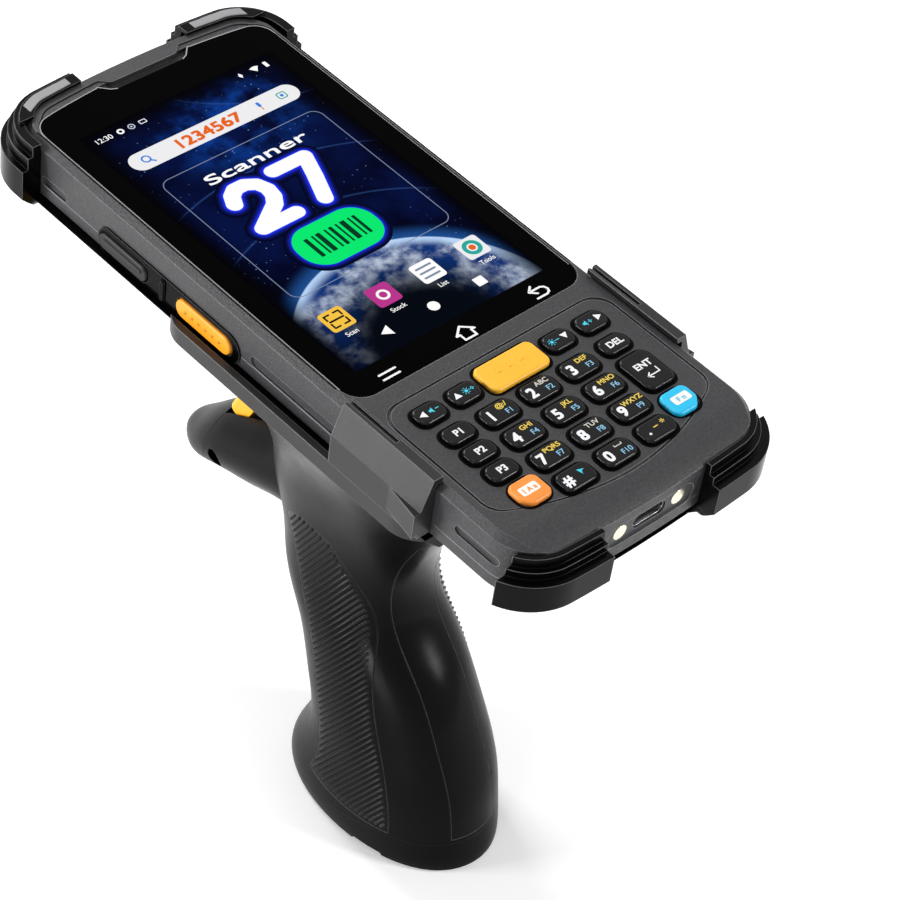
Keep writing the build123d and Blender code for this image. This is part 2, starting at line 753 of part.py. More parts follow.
def build_guard_lip():
    """The thin lip that reaches over the edge of the front at the scanning end."""
    lip_top, lip_bottom, lip_growth = guard_lip
    height = lip_bottom - lip_top
    with BuildPart() as lip:
        extrude(terminal_outline(below(lip_bottom), lip_growth), amount=height)
        extrude(terminal_outline(below(lip_bottom), -guard_lip_reach), amount=height,
                mode=Mode.SUBTRACT)
        with BuildSketch(Plane.XY.offset(below(lip_bottom))):
            with Locations((0, guard_lip_end_y + beyond / 2)):
                Rectangle(2 * beyond, beyond)
        extrude(amount=height, mode=Mode.INTERSECT)
    return lip.part


def build_corner_block(side_sign, end_sign, start_y):
    """Block that a corner guard fills, with its lower edges at the guard's ends rounded."""
    corner_x = side_sign * (guard_inner_x + beyond / 2)
    with BuildPart() as block:
        with BuildSketch(Plane.XY.offset(below(guard_foot))):
            with Locations((corner_x, start_y + end_sign * beyond / 2)):
                Rectangle(beyond, beyond)
        extrude(amount=beyond)
        low_edges = block.faces().sort_by(Axis.Z)[0].edges()
        inner_edge = low_edges.sort_by(Axis.X)[0 if side_sign > 0 else -1]
        start_edge = low_edges.sort_by(Axis.Y)[0 if end_sign > 0 else -1]
        fillet([inner_edge, start_edge], guard_end_round)
    return block.part


def build_guard(side_sign, end_sign):
    """A stepped corner guard moulded over one corner of the boot."""
    at_scan_end = end_sign > 0
    layers = guard_layers_scan if at_scan_end else guard_layers_keypad
    reach = guard_scan_reach if at_scan_end else guard_keypad_reach
    end_y = scan_end_y if at_scan_end else keypad_end_y
    with BuildPart() as guard:
        for top, bottom, growth in layers[:-1]:
            extrude(terminal_outline(below(bottom), growth), amount=bottom - top)
        top, bottom, growth = layers[-1]
        add(bevelled_envelope(guard_foot, growth, guard_foot - bottom, top))
        # Room for the terminal and for the boot.
        extrude(terminal_outline(guard_room_z, guard_gap + boot_gap), amount=beyond,
                mode=Mode.SUBTRACT)
        add(guard_boot_room, mode=Mode.SUBTRACT)
        if at_scan_end:
            add(build_guard_lip())
        add(build_corner_block(side_sign, end_sign, end_y - end_sign * reach),
            mode=Mode.INTERSECT)
    return guard.part


for side_name, side_sign in (("left", -1), ("right", 1)):
    for end_name, end_sign in (("scan", 1), ("keypad", -1)):
        save(build_guard(side_sign, end_sign), f"corner_guard_{end_name}_{side_name}")

# --- Sled ---------------------------------------------------------------------------------

sled_centre_y = (sled_start_y + sled_end_y) / 2
sled_length = sled_end_y - sled_start_y
rail_outer_x = rail_x + sled_wall
arm_outer_x = rail_x + arm_wall
hook_under = rim_height + arm_hook_gap
tray_screw_places = ((-tray_screw_x, sled_start_y + tray_screw_y),
                     (tray_screw_x, sled_start_y + tray_screw_y))


def build_arm(side):
    """One clip arm with its hook and flared finger tip; side is -1 or 1."""
    arm_end_y = sled_start_y + arm_length
    arm_inner_x = side_x + sled_gap
    hook_tip_x = arm_inner_x - arm_hook
    with BuildPart() as arm:
        with BuildSketch(Plane.XZ.offset(-arm_end_y)):
            with BuildLine():
                Polyline((side * arm_inner_x, below(sled_rail_top)),
                         (side * arm_inner_x, screen_z + hook_under),
                         (side * hook_tip_x, screen_z + hook_under),
                         (side * hook_tip_x, screen_z + hook_under + arm_hook_height),
                         (side * (arm_inner_x + arm_lip), screen_z + hook_under + arm_hook_height),
                         (side * arm_outer_x, below(arm_bevel)),
                         (side * arm_outer_x, below(sled_rail_top)), close=True)
            make_face()
        extrude(amount=arm_length)
        # Slot along the front part of the hook.
        slot_width, slot_length, slot_depth = arm_slot
        with BuildSketch(Plane.XY.offset(screen_z + hook_under + arm_hook_height - slot_depth)):
            with Locations((side * (hook_tip_x + arm_slot_x), arm_end_y - arm_slot_start)):
                Rectangle(slot_width, slot_length)
        extrude(amount=beyond, mode=Mode.SUBTRACT)
        # Flared tip that a finger pulls to free the terminal.
        tip_root_x = arm_outer_x - arm_tip_root
        with BuildSketch(Plane.XY.offset(below(arm_bevel + arm_tip_height))):
            with BuildLine():
                Polyline((side * tip_root_x, sled_start_y + arm_tip_length),
                         (side * arm_outer_x, sled_start_y + arm_tip_length),
                         (side * (arm_outer_x + arm_tip_flare), sled_start_y),
                         (side * tip_root_x, sled_start_y), close=True)
            make_face()
        extrude(amount=arm_tip_height)
    return arm.part


with BuildPart() as sled_tray:
    with BuildSketch(Plane.XY.offset(below(sled_bottom))):
        with Locations((0, sled_centre_y)):
            RectangleRounded(2 * rail_outer_x, sled_length, sled_corner)
    extrude(amount=sled_bottom - sled_rail_top)
    chamfer(sled_tray.faces().sort_by(Axis.Z)[0].edges(), sled_edge_bevel)
    # Trough for the boot, with corners that follow its sloping edge.
    with BuildSketch(Plane.XZ.offset(-sled_end_y - cut_over)):
        bevel_top = boot_bottom - boot_bevel
        Polygon((-rail_x, below(bevel_top)), (-rail_x + boot_bevel, below(boot_bottom)),
                (rail_x - boot_bevel, below(boot_bottom)), (rail_x, below(bevel_top)),
                (rail_x, screen_z), (-rail_x, screen_z), align=None)
    extrude(amount=sled_length + 2 * cut_over, mode=Mode.SUBTRACT)
    add(build_arm(-1))
    add(build_arm(1))
    with Locations(Plane.XY.offset(below(boot_bottom))):
        with Locations(*tray_screw_places):
            CounterSinkHole(tray_screw_radius + screw_gap, tray_screw_head_radius + screw_gap)
save(sled_tray.part, "sled_tray")

# --- Pistol grip --------------------------------------------------------------------------

shoulder_z = below(shoulder_depth)
neck_z = below(neck_depth)
grip_top_z = below(sled_bottom)

# Stations up the handle: height, centre along Y, half width, half length, squareness.
grip_stations = (
    (0, 0, 18.5, 28.5, 2.1),
    (4, 0.0, 19.0, 28.2, 2.1),
    (8, -0.3, 19.0, 27.0, 2.1),
    (20, -0.6, 18.2, 24.0, 2.1),
    (palm_z, 4.0, 17.2, 22.5, 2.1),
    (46, 10.2, 16.2, 20.8, 2.1),
    (waist_z, 18.2, 15.8, 18.4, 2.1),
    (below(waist_depth), 20.2, 16.4, 19.2, 2.1),
    (below(61), 20.0, 18.0, 22.6, 2.1),
    (neck_z, 17.0, 20.5, 26.0, 2.2),
    (below(40), 13.5, 23.5, 32.0, 2.4),
    (shoulder_z, 11.0, 27.0, 36.5, 2.7),
    (below(25.5), 11.0, 30.0, 38.0, 3.4),
    (grip_top_z, sled_centre_y, 31.8, 38.5, 5.0),
)


def grip_section(station, inset):
    """One cross-section of the handle, shrunk by an inset."""
    height, centre_y, half_width, half_length, power = station
    points = []
    count = 20
    for step in range(count):
        angle = 2 * pi * (step + 0.5) / count
        across, along = cos(angle), sin(angle)
        x = abs(across) ** (2 / power) * (half_width - inset)
        y = abs(along) ** (2 / power) * (half_length - inset)
        points.append((x if across > 0 else -x, centre_y + (y if along > 0 else -y)))
    with BuildSketch(Plane.XY.offset(height)) as section:
        with BuildLine():
            Spline(*points, periodic=True)
        make_face()
    return section.sketch


def grip_loft(inset):
    """The handle's skin, shrunk by an inset."""
    with BuildPart() as body:
        loft([grip_section(station, inset).face() for station in grip_stations])
    return body.part


# Finger guard: centre depth, half width and half height at stations along Y.
beak_stations = (
    (28, 62.0, 14.0, 14.0),
    (38, 66.0, 13.6, 11.5),
    (45, 69.5, 13.0, 10.6),
    (51, 72.3, 12.3, 10.0),
    (58, 75.6, 11.4, 9.2),
    (64, 79.0, 10.2, 8.6),
    (69, 82.3, 8.4, 7.2),
    (73.5, 84.6, 5.8, 5.0),
    (76.5, 85.6, 3.0, 2.6),
)


def build_beak():
    """The finger guard that stands out from the front of the neck."""
    sections = []
    for y, depth, half_width, half_height in beak_stations:
        with BuildSketch(Plane.XZ.offset(-y)) as section:
            with Locations((0, below(depth))):
                Ellipse(half_width, half_height)
        sections.append(section.sketch.face())
    with BuildPart() as beak:
        loft(sections)
    return beak.part


grip_skin_outer = grip_loft(0)
grip_skin_inner = grip_loft(grip_skin)
panel_floor_skin = grip_loft(panel_thickness)
beak_solid = build_beak()

pivot_z = below(pivot_depth)
slot_half_width = trigger_width / 2 + trigger_gap
slot_floor_z = below(trigger_tip_depth + slot_floor_gap)
slot_back_y = pivot_y - trigger_arm - slot_back_gap
strap_top_z = below(strap_top_depth)
# Places of the screws along Y and Z: two through the handle and one in the finger guard.
grip_screw_places = ((0, 24), (18, 67), (guard_cap_y - guard_screw_inset, below(guard_screw_depth)))
switch_y = pivot_y - switch_pivot_y
switch_z = below(neck_depth)


def panel_prism(shrink):
    """Block whose outline is that of the ribbed side panel, seen from the side."""
    with BuildPart() as prism:
        with BuildSketch(Plane.YZ):
            with BuildLine():
                low_z = panel_low_z + shrink
                front = Spline((11.2 - shrink, low_z), (9.6 - shrink, 18), (12 - shrink, 29),
                               (17.5 - shrink, 48), (28 - shrink, 79))
                top = Spline(front @ 1, (21.5, 83.6 - shrink), (13 + shrink, 81))
                back = Spline(top @ 1, (3.5 + shrink, 60), (-5.3 + shrink, 37.5),
                              (-11.1 + shrink, 25), (-15 + shrink, low_z))
                Line(back @ 1, front @ 0)
            make_face()
        extrude(amount=beyond, both=True)
    return prism.part


def strap_box(shrink):
    """Block over the middle of the handle's back."""
    low_z = strap_low_z + shrink
    high_z = strap_top_z - shrink
    with BuildPart() as box:
        with BuildSketch(Plane.XY.offset(low_z)):
            with Locations((0, strap_reach_y - beyond / 2)):
                Rectangle(strap_width - 2 * shrink, beyond)
        extrude(amount=high_z - low_z)
    return box.part


def butt_block(lift):
    """Everything below the butt cap's sloping seam, lifted by an amount."""
    with BuildPart() as block:
        with BuildSketch(Plane.YZ):
            Polygon((-beyond, -beyond), (beyond, -beyond), (beyond, butt_front_z + lift),
                    (butt_slope_y, butt_front_z + lift), (-butt_slope_y, butt_back_z + lift),
                    (-beyond, butt_back_z + lift), align=None)
        extrude(amount=beyond, both=True)
    return block.part


with BuildPart() as grip_cavity:
    add(grip_skin_inner)
    # The deck under the sled and the butt stay closed.
    with BuildSketch(Plane.XY.offset(below(deck_depth))):
        Rectangle(2 * beyond, 2 * beyond)
    extrude(amount=deck_depth, mode=Mode.SUBTRACT)
    with BuildSketch(Plane.XY):
        Rectangle(2 * beyond, 2 * beyond)
    extrude(amount=butt_floor, mode=Mode.SUBTRACT)


def screw_bar(places, radius, from_x, to_x):
    """Round bars along X at the screw places."""
    with BuildPart() as bars:
        for y, z in places:
            with BuildSketch(Plane.YZ.offset(from_x)):
                with Locations((y, z)):
                    Circle(radius)
            extrude(amount=to_x - from_x)
    return bars.part


with BuildPart() as switch_rib:
    rib_half_height = switch_size[2] / 2 + switch_rib_margin
    rib_y = switch_y - switch_size[1] / 2 - switch_rib_gap - switch_rib_thickness / 2
    with BuildSketch(Plane.XY.offset(switch_z - rib_half_height)):
        with Locations((0, rib_y)):
            Rectangle(beyond, switch_rib_thickness)
    extrude(amount=2 * rib_half_height)
    add(grip_skin_inner, mode=Mode.INTERSECT)

with BuildPart() as screw_bosses:
    add(screw_bar(grip_screw_places[:2], boss_radius, -beyond, beyond))
    add(grip_skin_inner, mode=Mode.INTERSECT)

with BuildPart() as pivot_bosses:
    boss_half_length = pin_length / 2 + pivot_boss_reach
    with BuildSketch(Plane.YZ.offset(-boss_half_length)):
        with Locations((pivot_y, pivot_z)):
            Circle(pin_radius + pivot_boss_wall)
    extrude(amount=2 * boss_half_length)

with BuildPart() as grip_body:
    add(grip_skin_outer)
    add(beak_solid)
    # The butt cap and the cap on the finger guard are separate pieces.
    add(butt_block(0), mode=Mode.SUBTRACT)
    with BuildSketch(Plane.XZ.offset(-guard_cap_y)):
        with Locations((0, slot_floor_z)):
            Rectangle(beyond, beyond)
    extrude(amount=-beyond, mode=Mode.SUBTRACT)
    add(grip_cavity.part, mode=Mode.SUBTRACT)
    add(switch_rib.part)
    add(screw_bosses.part)
    add(pivot_bosses.part)
    # Slot for the trigger.
    with BuildSketch(Plane.XY.offset(slot_floor_z)):
        with Locations((0, (slot_back_y + guard_cap_y) / 2)):
            Rectangle(2 * slot_half_width, guard_cap_y - slot_back_y)
    extrude(amount=grip_top_z - slot_floor_z, mode=Mode.SUBTRACT)
    add(switch_rib.part)
    # Pivot pin, screws and their head recesses.
    with BuildSketch(Plane.YZ.offset(-pin_length / 2)):
        with Locations((pivot_y, pivot_z)):
            Circle(pin_radius + pin_gap)
    extrude(amount=pin_length, mode=Mode.SUBTRACT)

with BuildPart() as grip_shell_pair:
    add(grip_body.part)
    head_radius = screw_head_radius + screw_gap
    hole_radius = screw_radius + screw_gap
    hole_length = screw_length + screw_hole_extra
    for places, head_x in ((grip_screw_places[:2], -screw_head_x),
                           (grip_screw_places[2:], -guard_screw_head_x)):
        add(screw_bar(places, head_radius, -beyond, head_x), mode=Mode.SUBTRACT)
        add(screw_bar(places, hole_radius, head_x, head_x + hole_length), mode=Mode.SUBTRACT)
    with Locations(Plane.XY.offset(grip_top_z)):
        with Locations(*tray_screw_places):
            Hole(tray_screw_radius + screw_gap, depth=tray_screw_length)


def skin_layer(inner_skin, block):
    """The part of the handle's skin that lies outside an inner skin and within a block."""
    with BuildPart() as layer:
        add(grip_skin_outer)
        add(inner_skin, mode=Mode.SUBTRACT)
        add(block, mode=Mode.INTERSECT)
    return layer.part


def half_of(part, side):
    """The half of a part on one side of the middle plane, clear of the seam."""
    with BuildPart() as half:
        add(part)
        split(bisect_by=Plane.YZ.offset(side * seam_gap / 2), keep=Keep.TOP if side > 0 else Keep.BOTTOM)
    return half.part


with BuildPart() as grip_shells:
    add(grip_shell_pair.part)
    add(skin_layer(panel_floor_skin, panel_prism(0)), mode=Mode.SUBTRACT)
    add(skin_layer(panel_floor_skin, strap_box(0)), mode=Mode.SUBTRACT)
save(half_of(grip_shells.part, -1), "grip_left_shell")
save(half_of(grip_shells.part, 1), "grip_right_shell")

panel_back_skin = grip_loft(panel_thickness - panel_gap)
panel_pair = skin_layer(panel_back_skin, panel_prism(panel_gap))
save(half_of(panel_pair, -1), "grip_panel_left")
save(half_of(panel_pair, 1), "grip_panel_right")
save(skin_layer(panel_back_skin, strap_box(panel_gap)), "grip_backstrap")

with BuildPart() as finger_guard_cap:
    add(beak_solid)
    with BuildSketch(Plane.XZ.offset(-guard_cap_y - seam_gap)):
        with Locations((0, slot_floor_z)):
            Rectangle(beyond, beyond)
    extrude(amount=-beyond, mode=Mode.INTERSECT)
save(finger_guard_cap.part, "finger_guard_cap")

# Butt cap with a lip that stands inside the two shells.
with BuildPart() as butt_lip:
    add(grip_loft(grip_skin + panel_gap))
    add(grip_loft(grip_skin + butt_lip_wall), mode=Mode.SUBTRACT)
    add(butt_block(butt_lip_height), mode=Mode.INTERSECT)

with BuildPart() as butt_cap:
    add(grip_skin_outer)
    add(butt_block(-seam_gap), mode=Mode.INTERSECT)
    chamfer(butt_cap.faces().sort_by(Axis.Z)[0].edges(), butt_edge_bevel)
    add(grip_cavity.part, mode=Mode.SUBTRACT)
    add(butt_lip.part)
    # Lanyard notch in the left lower edge.
    with BuildSketch(Plane.XY):
        with Locations((-lanyard_x, lanyard_y)):
            Rectangle(lanyard_size[0], lanyard_size[1])
    extrude(amount=lanyard_size[2], mode=Mode.SUBTRACT)
save(butt_cap.part, "butt_cap")

# --- Trigger ------------------------------------------------------------------------------

with BuildPart() as trigger:
    with BuildSketch(Plane.YZ.offset(-trigger_width / 2)):
        # Blade seen from the side, with a hollow front for the finger.
        with BuildLine():
            front = Spline((pivot_y + 4.5, below(25.5)), (pivot_y + 6.5, below(40)),
                           (pivot_y + 9.7, below(50)), (pivot_y + 14.6, below(61)),
                           (trigger_tip_y, below(trigger_tip_depth - 1.8)))
            tip = ThreePointArc(front @ 1, (trigger_tip_y - 1.2, below(trigger_tip_depth - 0.3)),
                                (trigger_tip_y - 3.6, below(trigger_tip_depth)))
            heel = Line(tip @ 1, (trigger_tip_y - 5.6, below(trigger_tip_depth - 0.6)))
            back = Spline(heel @ 1, (pivot_y + 9.2, below(62.4)), (pivot_y + 3.6, below(50)),
                          (pivot_y + 0.9, below(43)), (pivot_y - 3.9, below(31)))
            Polyline(back @ 1, (pivot_y - 3.9, below(25.5)), front @ 0)
        make_face()
    extrude(amount=trigger_width)
    # Hub round the pin, and the arm that the spring pushes down.
    with BuildSketch(Plane.YZ.offset(-trigger_width / 2)):
        with Locations((pivot_y, pivot_z)):
            Circle(trigger_hub)
        with Locations((pivot_y - trigger_arm / 2, pivot_z)):
            Rectangle(trigger_arm, trigger_arm_height)
    extrude(amount=trigger_width)
    fillet(trigger.edges().group_by(SortBy.LENGTH)[-1], trigger_edge_round)
    with BuildSketch(Plane.YZ.offset(-trigger_width)):
        with Locations((pivot_y, pivot_z)):
            Circle(pin_radius + pin_gap)
    extrude(amount=2 * trigger_width, mode=Mode.SUBTRACT)
save(trigger.part, "trigger")

save(screw_bar(((pivot_y, pivot_z),), pin_radius, -pin_length / 2 + seam_gap,
               pin_length / 2 - seam_gap), "trigger_pin")

spring_y = pivot_y - trigger_arm + spring_radius + spring_wire + 0.2
spring_low_z = pivot_z + trigger_arm_height / 2 + spring_wire
spring_height = grip_top_z - spring_low_z - spring_wire
with BuildPart() as trigger_spring:
    with BuildLine():
        coil = Helix(spring_height / spring_turns, spring_height, spring_radius,
                     center=(0, spring_y, spring_low_z))
    with BuildSketch(Plane(origin=coil @ 0, z_dir=coil % 0)):
        Circle(spring_wire)
    sweep()
save(trigger_spring.part, "trigger_spring")

with BuildPart() as trigger_switch:
    with BuildSketch(Plane.XY.offset(switch_z - switch_size[2] / 2)):
        with Locations((0, switch_y)):
            Rectangle(switch_size[0], switch_size[1])
    extrude(amount=switch_size[2])
    with BuildSketch(Plane.XZ.offset(-switch_y - switch_size[1] / 2)):
        with Locations((0, switch_z)):
            Circle(switch_plunger_radius)
    extrude(amount=-switch_plunger_length)
save(trigger_switch.part, "trigger_switch")

# --- Screws -------------------------------------------------------------------------------


def build_cross_screw(y, z, head_x):
    """One grip screw along X with a hexagonal socket in its head."""
    with BuildPart() as screw:
        add(screw_bar(((y, z),), screw_head_radius, head_x - screw_head_height, head_x))
        add(screw_bar(((y, z),), screw_radius, head_x, head_x + screw_length))
        with BuildSketch(Plane.YZ.offset(head_x - screw_head_height)):
            with Locations((y, z)):
                RegularPolygon(screw_socket_radius, 6)
        extrude(amount=screw_socket_depth, mode=Mode.SUBTRACT)
    return screw.part


with BuildPart() as grip_screws:
    for y, z in grip_screw_places[:2]:
        add(build_cross_screw(y, z, -screw_head_x))
    for y, z in grip_screw_places[2:]:
        add(build_cross_screw(y, z, -guard_screw_head_x))
save(grip_screws.part, "grip_screws")

with BuildPart() as sled_screws:
    head_run = tray_screw_head_radius - tray_screw_radius
    for x, y in tray_screw_places:
        with BuildSketch(Plane.XY.offset(below(boot_bottom))):
            with Locations((x, y)):
                Circle(tray_screw_radius)
        extrude(amount=-tray_screw_length)
        with Locations((x, y, below(boot_bottom) - head_run / 2)):
            Cone(tray_screw_radius, tray_screw_head_radius, head_run)
        with BuildSketch(Plane.XY.offset(below(boot_bottom))):
            with Locations((x, y)):
                RegularPolygon(screw_socket_radius, 6)
        extrude(amount=-screw_socket_depth, mode=Mode.SUBTRACT)
save(sled_screws.part, "sled_screws")
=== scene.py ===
"""Looks of a handheld barcode data terminal clipped on a pistol grip.

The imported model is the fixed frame. This script dresses its pieces, adds the printed legends, the
picture on the display and the ribbed grip panels, and sets up a plain studio. Sizes are in
millimetres unless a comment says metres, and turn to metres where a mesh or a node takes them.
"""
import logging
import math
from dataclasses import dataclass, field
from enum import Enum

import bmesh
import bpy
from mathutils import Matrix, Vector
from mathutils.bvhtree import BVHTree


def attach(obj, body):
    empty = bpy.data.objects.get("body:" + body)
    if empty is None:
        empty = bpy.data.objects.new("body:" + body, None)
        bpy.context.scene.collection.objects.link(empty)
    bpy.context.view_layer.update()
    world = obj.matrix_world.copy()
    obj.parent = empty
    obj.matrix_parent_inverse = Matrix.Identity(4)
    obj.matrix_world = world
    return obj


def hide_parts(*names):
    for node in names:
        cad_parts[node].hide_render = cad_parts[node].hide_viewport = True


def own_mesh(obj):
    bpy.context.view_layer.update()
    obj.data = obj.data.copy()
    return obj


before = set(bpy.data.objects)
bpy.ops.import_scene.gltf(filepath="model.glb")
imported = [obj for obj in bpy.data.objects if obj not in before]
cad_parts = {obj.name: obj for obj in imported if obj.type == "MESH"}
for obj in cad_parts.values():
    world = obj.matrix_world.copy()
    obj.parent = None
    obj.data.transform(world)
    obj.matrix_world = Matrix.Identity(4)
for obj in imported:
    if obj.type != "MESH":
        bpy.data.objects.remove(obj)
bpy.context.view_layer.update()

MM = 0.001
LOG = logging.getLogger("terminal")
HANDSET = "handset"
SIDES = (("left", -1), ("right", 1))
X_AXIS, Y_AXIS, Z_AXIS = Vector((1, 0, 0)), Vector((0, 1, 0)), Vector((0, 0, 1))

Socket = bpy.types.NodeSocket
Node = bpy.types.Node
Tree = bpy.types.NodeTree
Material = bpy.types.Material
Mesh = bpy.types.Mesh
Point = tuple[float, float]
Outline = list[Point]
Corners = list[bmesh.types.BMVert]

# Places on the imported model.
GLASS_TOP = 145.0
DISPLAY_MIDDLE = (0.0, 47.0)
DISPLAY_HALF = (26.15, 43.55)
# Ink and lit pixels stand this far above what carries them, so that both show whole.
INK_LIFT = 0.02
# Height between parts of one mark that overlap, so that no two lie in the same plane.
INK_STEP = 0.002


# --- Nodes --------------------------------------------------------------------------------


def linear(hex_code: str) -> tuple[float, float, float, float]:
    """Turn an sRGB hex colour into linear values.

    Args:
        hex_code: Six hex digits, such as "1A1A1C".

    Returns:
        Linear red, green, blue and an alpha of 1.
    """
    values = [int(hex_code[i:i + 2], 16) / 255 for i in (0, 2, 4)]
    red, green, blue = (v / 12.92 if v <= 0.04045 else ((v + 0.055) / 1.055) ** 2.4 for v in values)
    return red, green, blue, 1.0


def add_node(tree: Tree, kind: str, inputs: dict | None = None, **settings: object) -> Node:
    """Add one node with its settings and links.

    Args:
        tree: The node tree that gets the node.
        kind: The node's type, without the ShaderNode prefix.
        inputs: Socket name or number to a value, or to the output socket that feeds it.
        **settings: Properties of the node.

    Returns:
        The new node.
    """
    node = tree.nodes.new("ShaderNode" + kind)
    for key, value in settings.items():
        setattr(node, key, value)
    for key, value in (inputs or {}).items():
        if isinstance(value, Socket):
            tree.links.new(value, node.inputs[key])
        else:
            node.inputs[key].default_value = value
    return node


def empty_tree(owner: Material | bpy.types.World) -> Tree:
    """Switch a material or world to nodes, and return its emptied tree."""
    owner.use_nodes = True
    owner.node_tree.nodes.clear()
    return owner.node_tree


# --- Finishes -----------------------------------------------------------------------------


@dataclass(frozen=True)
class Finish:
    """A surface finish, drawn in the object's own coordinates.

    Attributes:
        name: The real material and how its surface was made.
        colour: Main sRGB colour.
        second: Second sRGB colour, which mottles the first. Empty for one plain colour.
        roughness: Middle of the roughness.
        spread: How far the roughness strays either way.
        ior: Index of refraction.
        metallic: 1 for a bare metal.
        grain: Size of the surface grain in mm.
        relief: Height of the grain in mm.
        mottle: Size of the colour mottling in mm.
        soft_edge: Radius of the rounding that catches light along sharp edges, in mm.
        coat: Weight of a clear gloss coat.
        edge: sRGB colour painted along open convex edges, as a highlight where light would catch a
            rounding.
    """

    name: str
    colour: str
    second: str = ""
    roughness: float = 0.5
    spread: float = 0.06
    ior: float = 1.5
    metallic: float = 0.0
    grain: float = 0.25
    relief: float = 0.01
    mottle: float = 6.0
    soft_edge: float = 0.2
    coat: float = 0.0
    edge: str = ""

    def build(self) -> Material:
        """Build the material once, and return it on each later call."""
        known = bpy.data.materials.get(self.name)
        if known is not None:
            return known
        material = bpy.data.materials.new(self.name)
        tree = empty_tree(material)
        shader = self.shade(tree, add_node(tree, "TexCoord").outputs["Object"])
        add_node(tree, "OutputMaterial", {"Surface": shader.outputs[0]})
        return material

    def shade(self, tree: Tree, place: Socket) -> Node:
        """Add the shader and what feeds it.

        Args:
            tree: The material's node tree.
            place: Object coordinates, in metres.

        Returns:
            The shader node.
        """
        return add_node(tree, "BsdfPrincipled", {
            "Base Color": self.paint(tree, place), "Roughness": self.polish(tree, place),
            "Normal": self.texture(tree, place), "Metallic": self.metallic, "IOR": self.ior,
            "Coat Weight": self.coat, "Coat Roughness": 0.08})

    def paint(self, tree: Tree, place: Socket) -> Socket:
        """Mottle the colour slightly, as pigment and handling do, and paint a highlight along open
        convex edges.
        """
        cloud = add_node(tree, "TexNoise", {"Vector": place, "Scale": 1 / (self.mottle * MM),
                                            "Detail": 4.0})
        colour = add_node(tree, "MixRGB", {
            "Fac": cloud.outputs["Fac"], "Color1": linear(self.colour),
            "Color2": linear(self.second or self.colour)}).outputs["Color"]
        if not self.edge:
            return colour
        return add_node(tree, "MixRGB", {"Fac": self.edge_highlight_mask(tree), "Color1": colour,
                                         "Color2": linear(self.edge)}).outputs["Color"]

    def edge_highlight_mask(self, tree: Tree) -> Socket:
        """Mask of the painted edge highlight: 1 along convex edges, where rounding bends the normal
        in the open.
        """
        slight, full = 0.96, 0.84  # cosine of the bend where the mask starts and is full
        shaded, open_air = 0.8, 0.97  # unblocked share of directions, likewise
        sight = 1.2
        rounded = add_node(tree, "Bevel", {"Radius": self.soft_edge * MM}, samples=8)
        bend = add_node(tree, "VectorMath", {
            0: rounded.outputs["Normal"], 1: add_node(tree, "NewGeometry").outputs["True Normal"]},
            operation="DOT_PRODUCT")
        sharp = add_node(tree, "MapRange", {"Value": bend.outputs["Value"], "From Min": slight,
                                            "From Max": full})
        shade = add_node(tree, "AmbientOcclusion", {"Distance": sight * MM}, samples=8)
        free = add_node(tree, "MapRange", {"Value": shade.outputs["AO"], "From Min": shaded,
                                           "From Max": open_air})
        return add_node(tree, "Math", {0: sharp.outputs["Result"], 1: free.outputs["Result"]},
                        operation="MULTIPLY").outputs[0]

    def polish(self, tree: Tree, place: Socket) -> Socket:
        """Vary the roughness in soft patches, wider than the colour's."""
        wider, low, high = 2.5, 0.3, 0.7  # most of the noise lies between low and high
        cloud = add_node(tree, "TexNoise", {
            "Vector": place, "Scale": 1 / (wider * self.mottle * MM), "Detail": 3.0})
        return add_node(tree, "MapRange", {
            "Value": cloud.outputs["Fac"], "From Min": low, "From Max": high,
            "To Min": self.roughness - self.spread,
            "To Max": self.roughness + self.spread}).outputs["Result"]

    def texture(self, tree: Tree, place: Socket) -> Socket:
        """Raise the grain over edges that are slightly rounded."""
        rounded = add_node(tree, "Bevel", {"Radius": self.soft_edge * MM}, samples=6)
        grain = add_node(tree, "TexNoise", {"Vector": place, "Scale": 1 / (self.grain * MM),
                                            "Detail": 2.0, "Roughness": 0.6})
        return add_node(tree, "Bump", {"Height": grain.outputs["Fac"], "Strength": 1.0,
                                       "Distance": self.relief * MM,
                                       "Normal": rounded.outputs["Normal"]}).outputs["Normal"]


@dataclass(frozen=True)
class Lit(Finish):
    """Pixels of the display, which glow through the black of the switched-off panel."""

    roughness: float = 0.08
    ior: float = 1.05

    def shade(self, tree: Tree, place: Socket) -> Node:
        """Add a dark gloss shader that emits the colour."""
        return add_node(tree, "BsdfPrincipled", {
            "Base Color": linear("000000"), "Roughness": self.roughness, "IOR": self.ior,
            "Emission Color": self.paint(tree, place), "Emission Strength": 1.0})


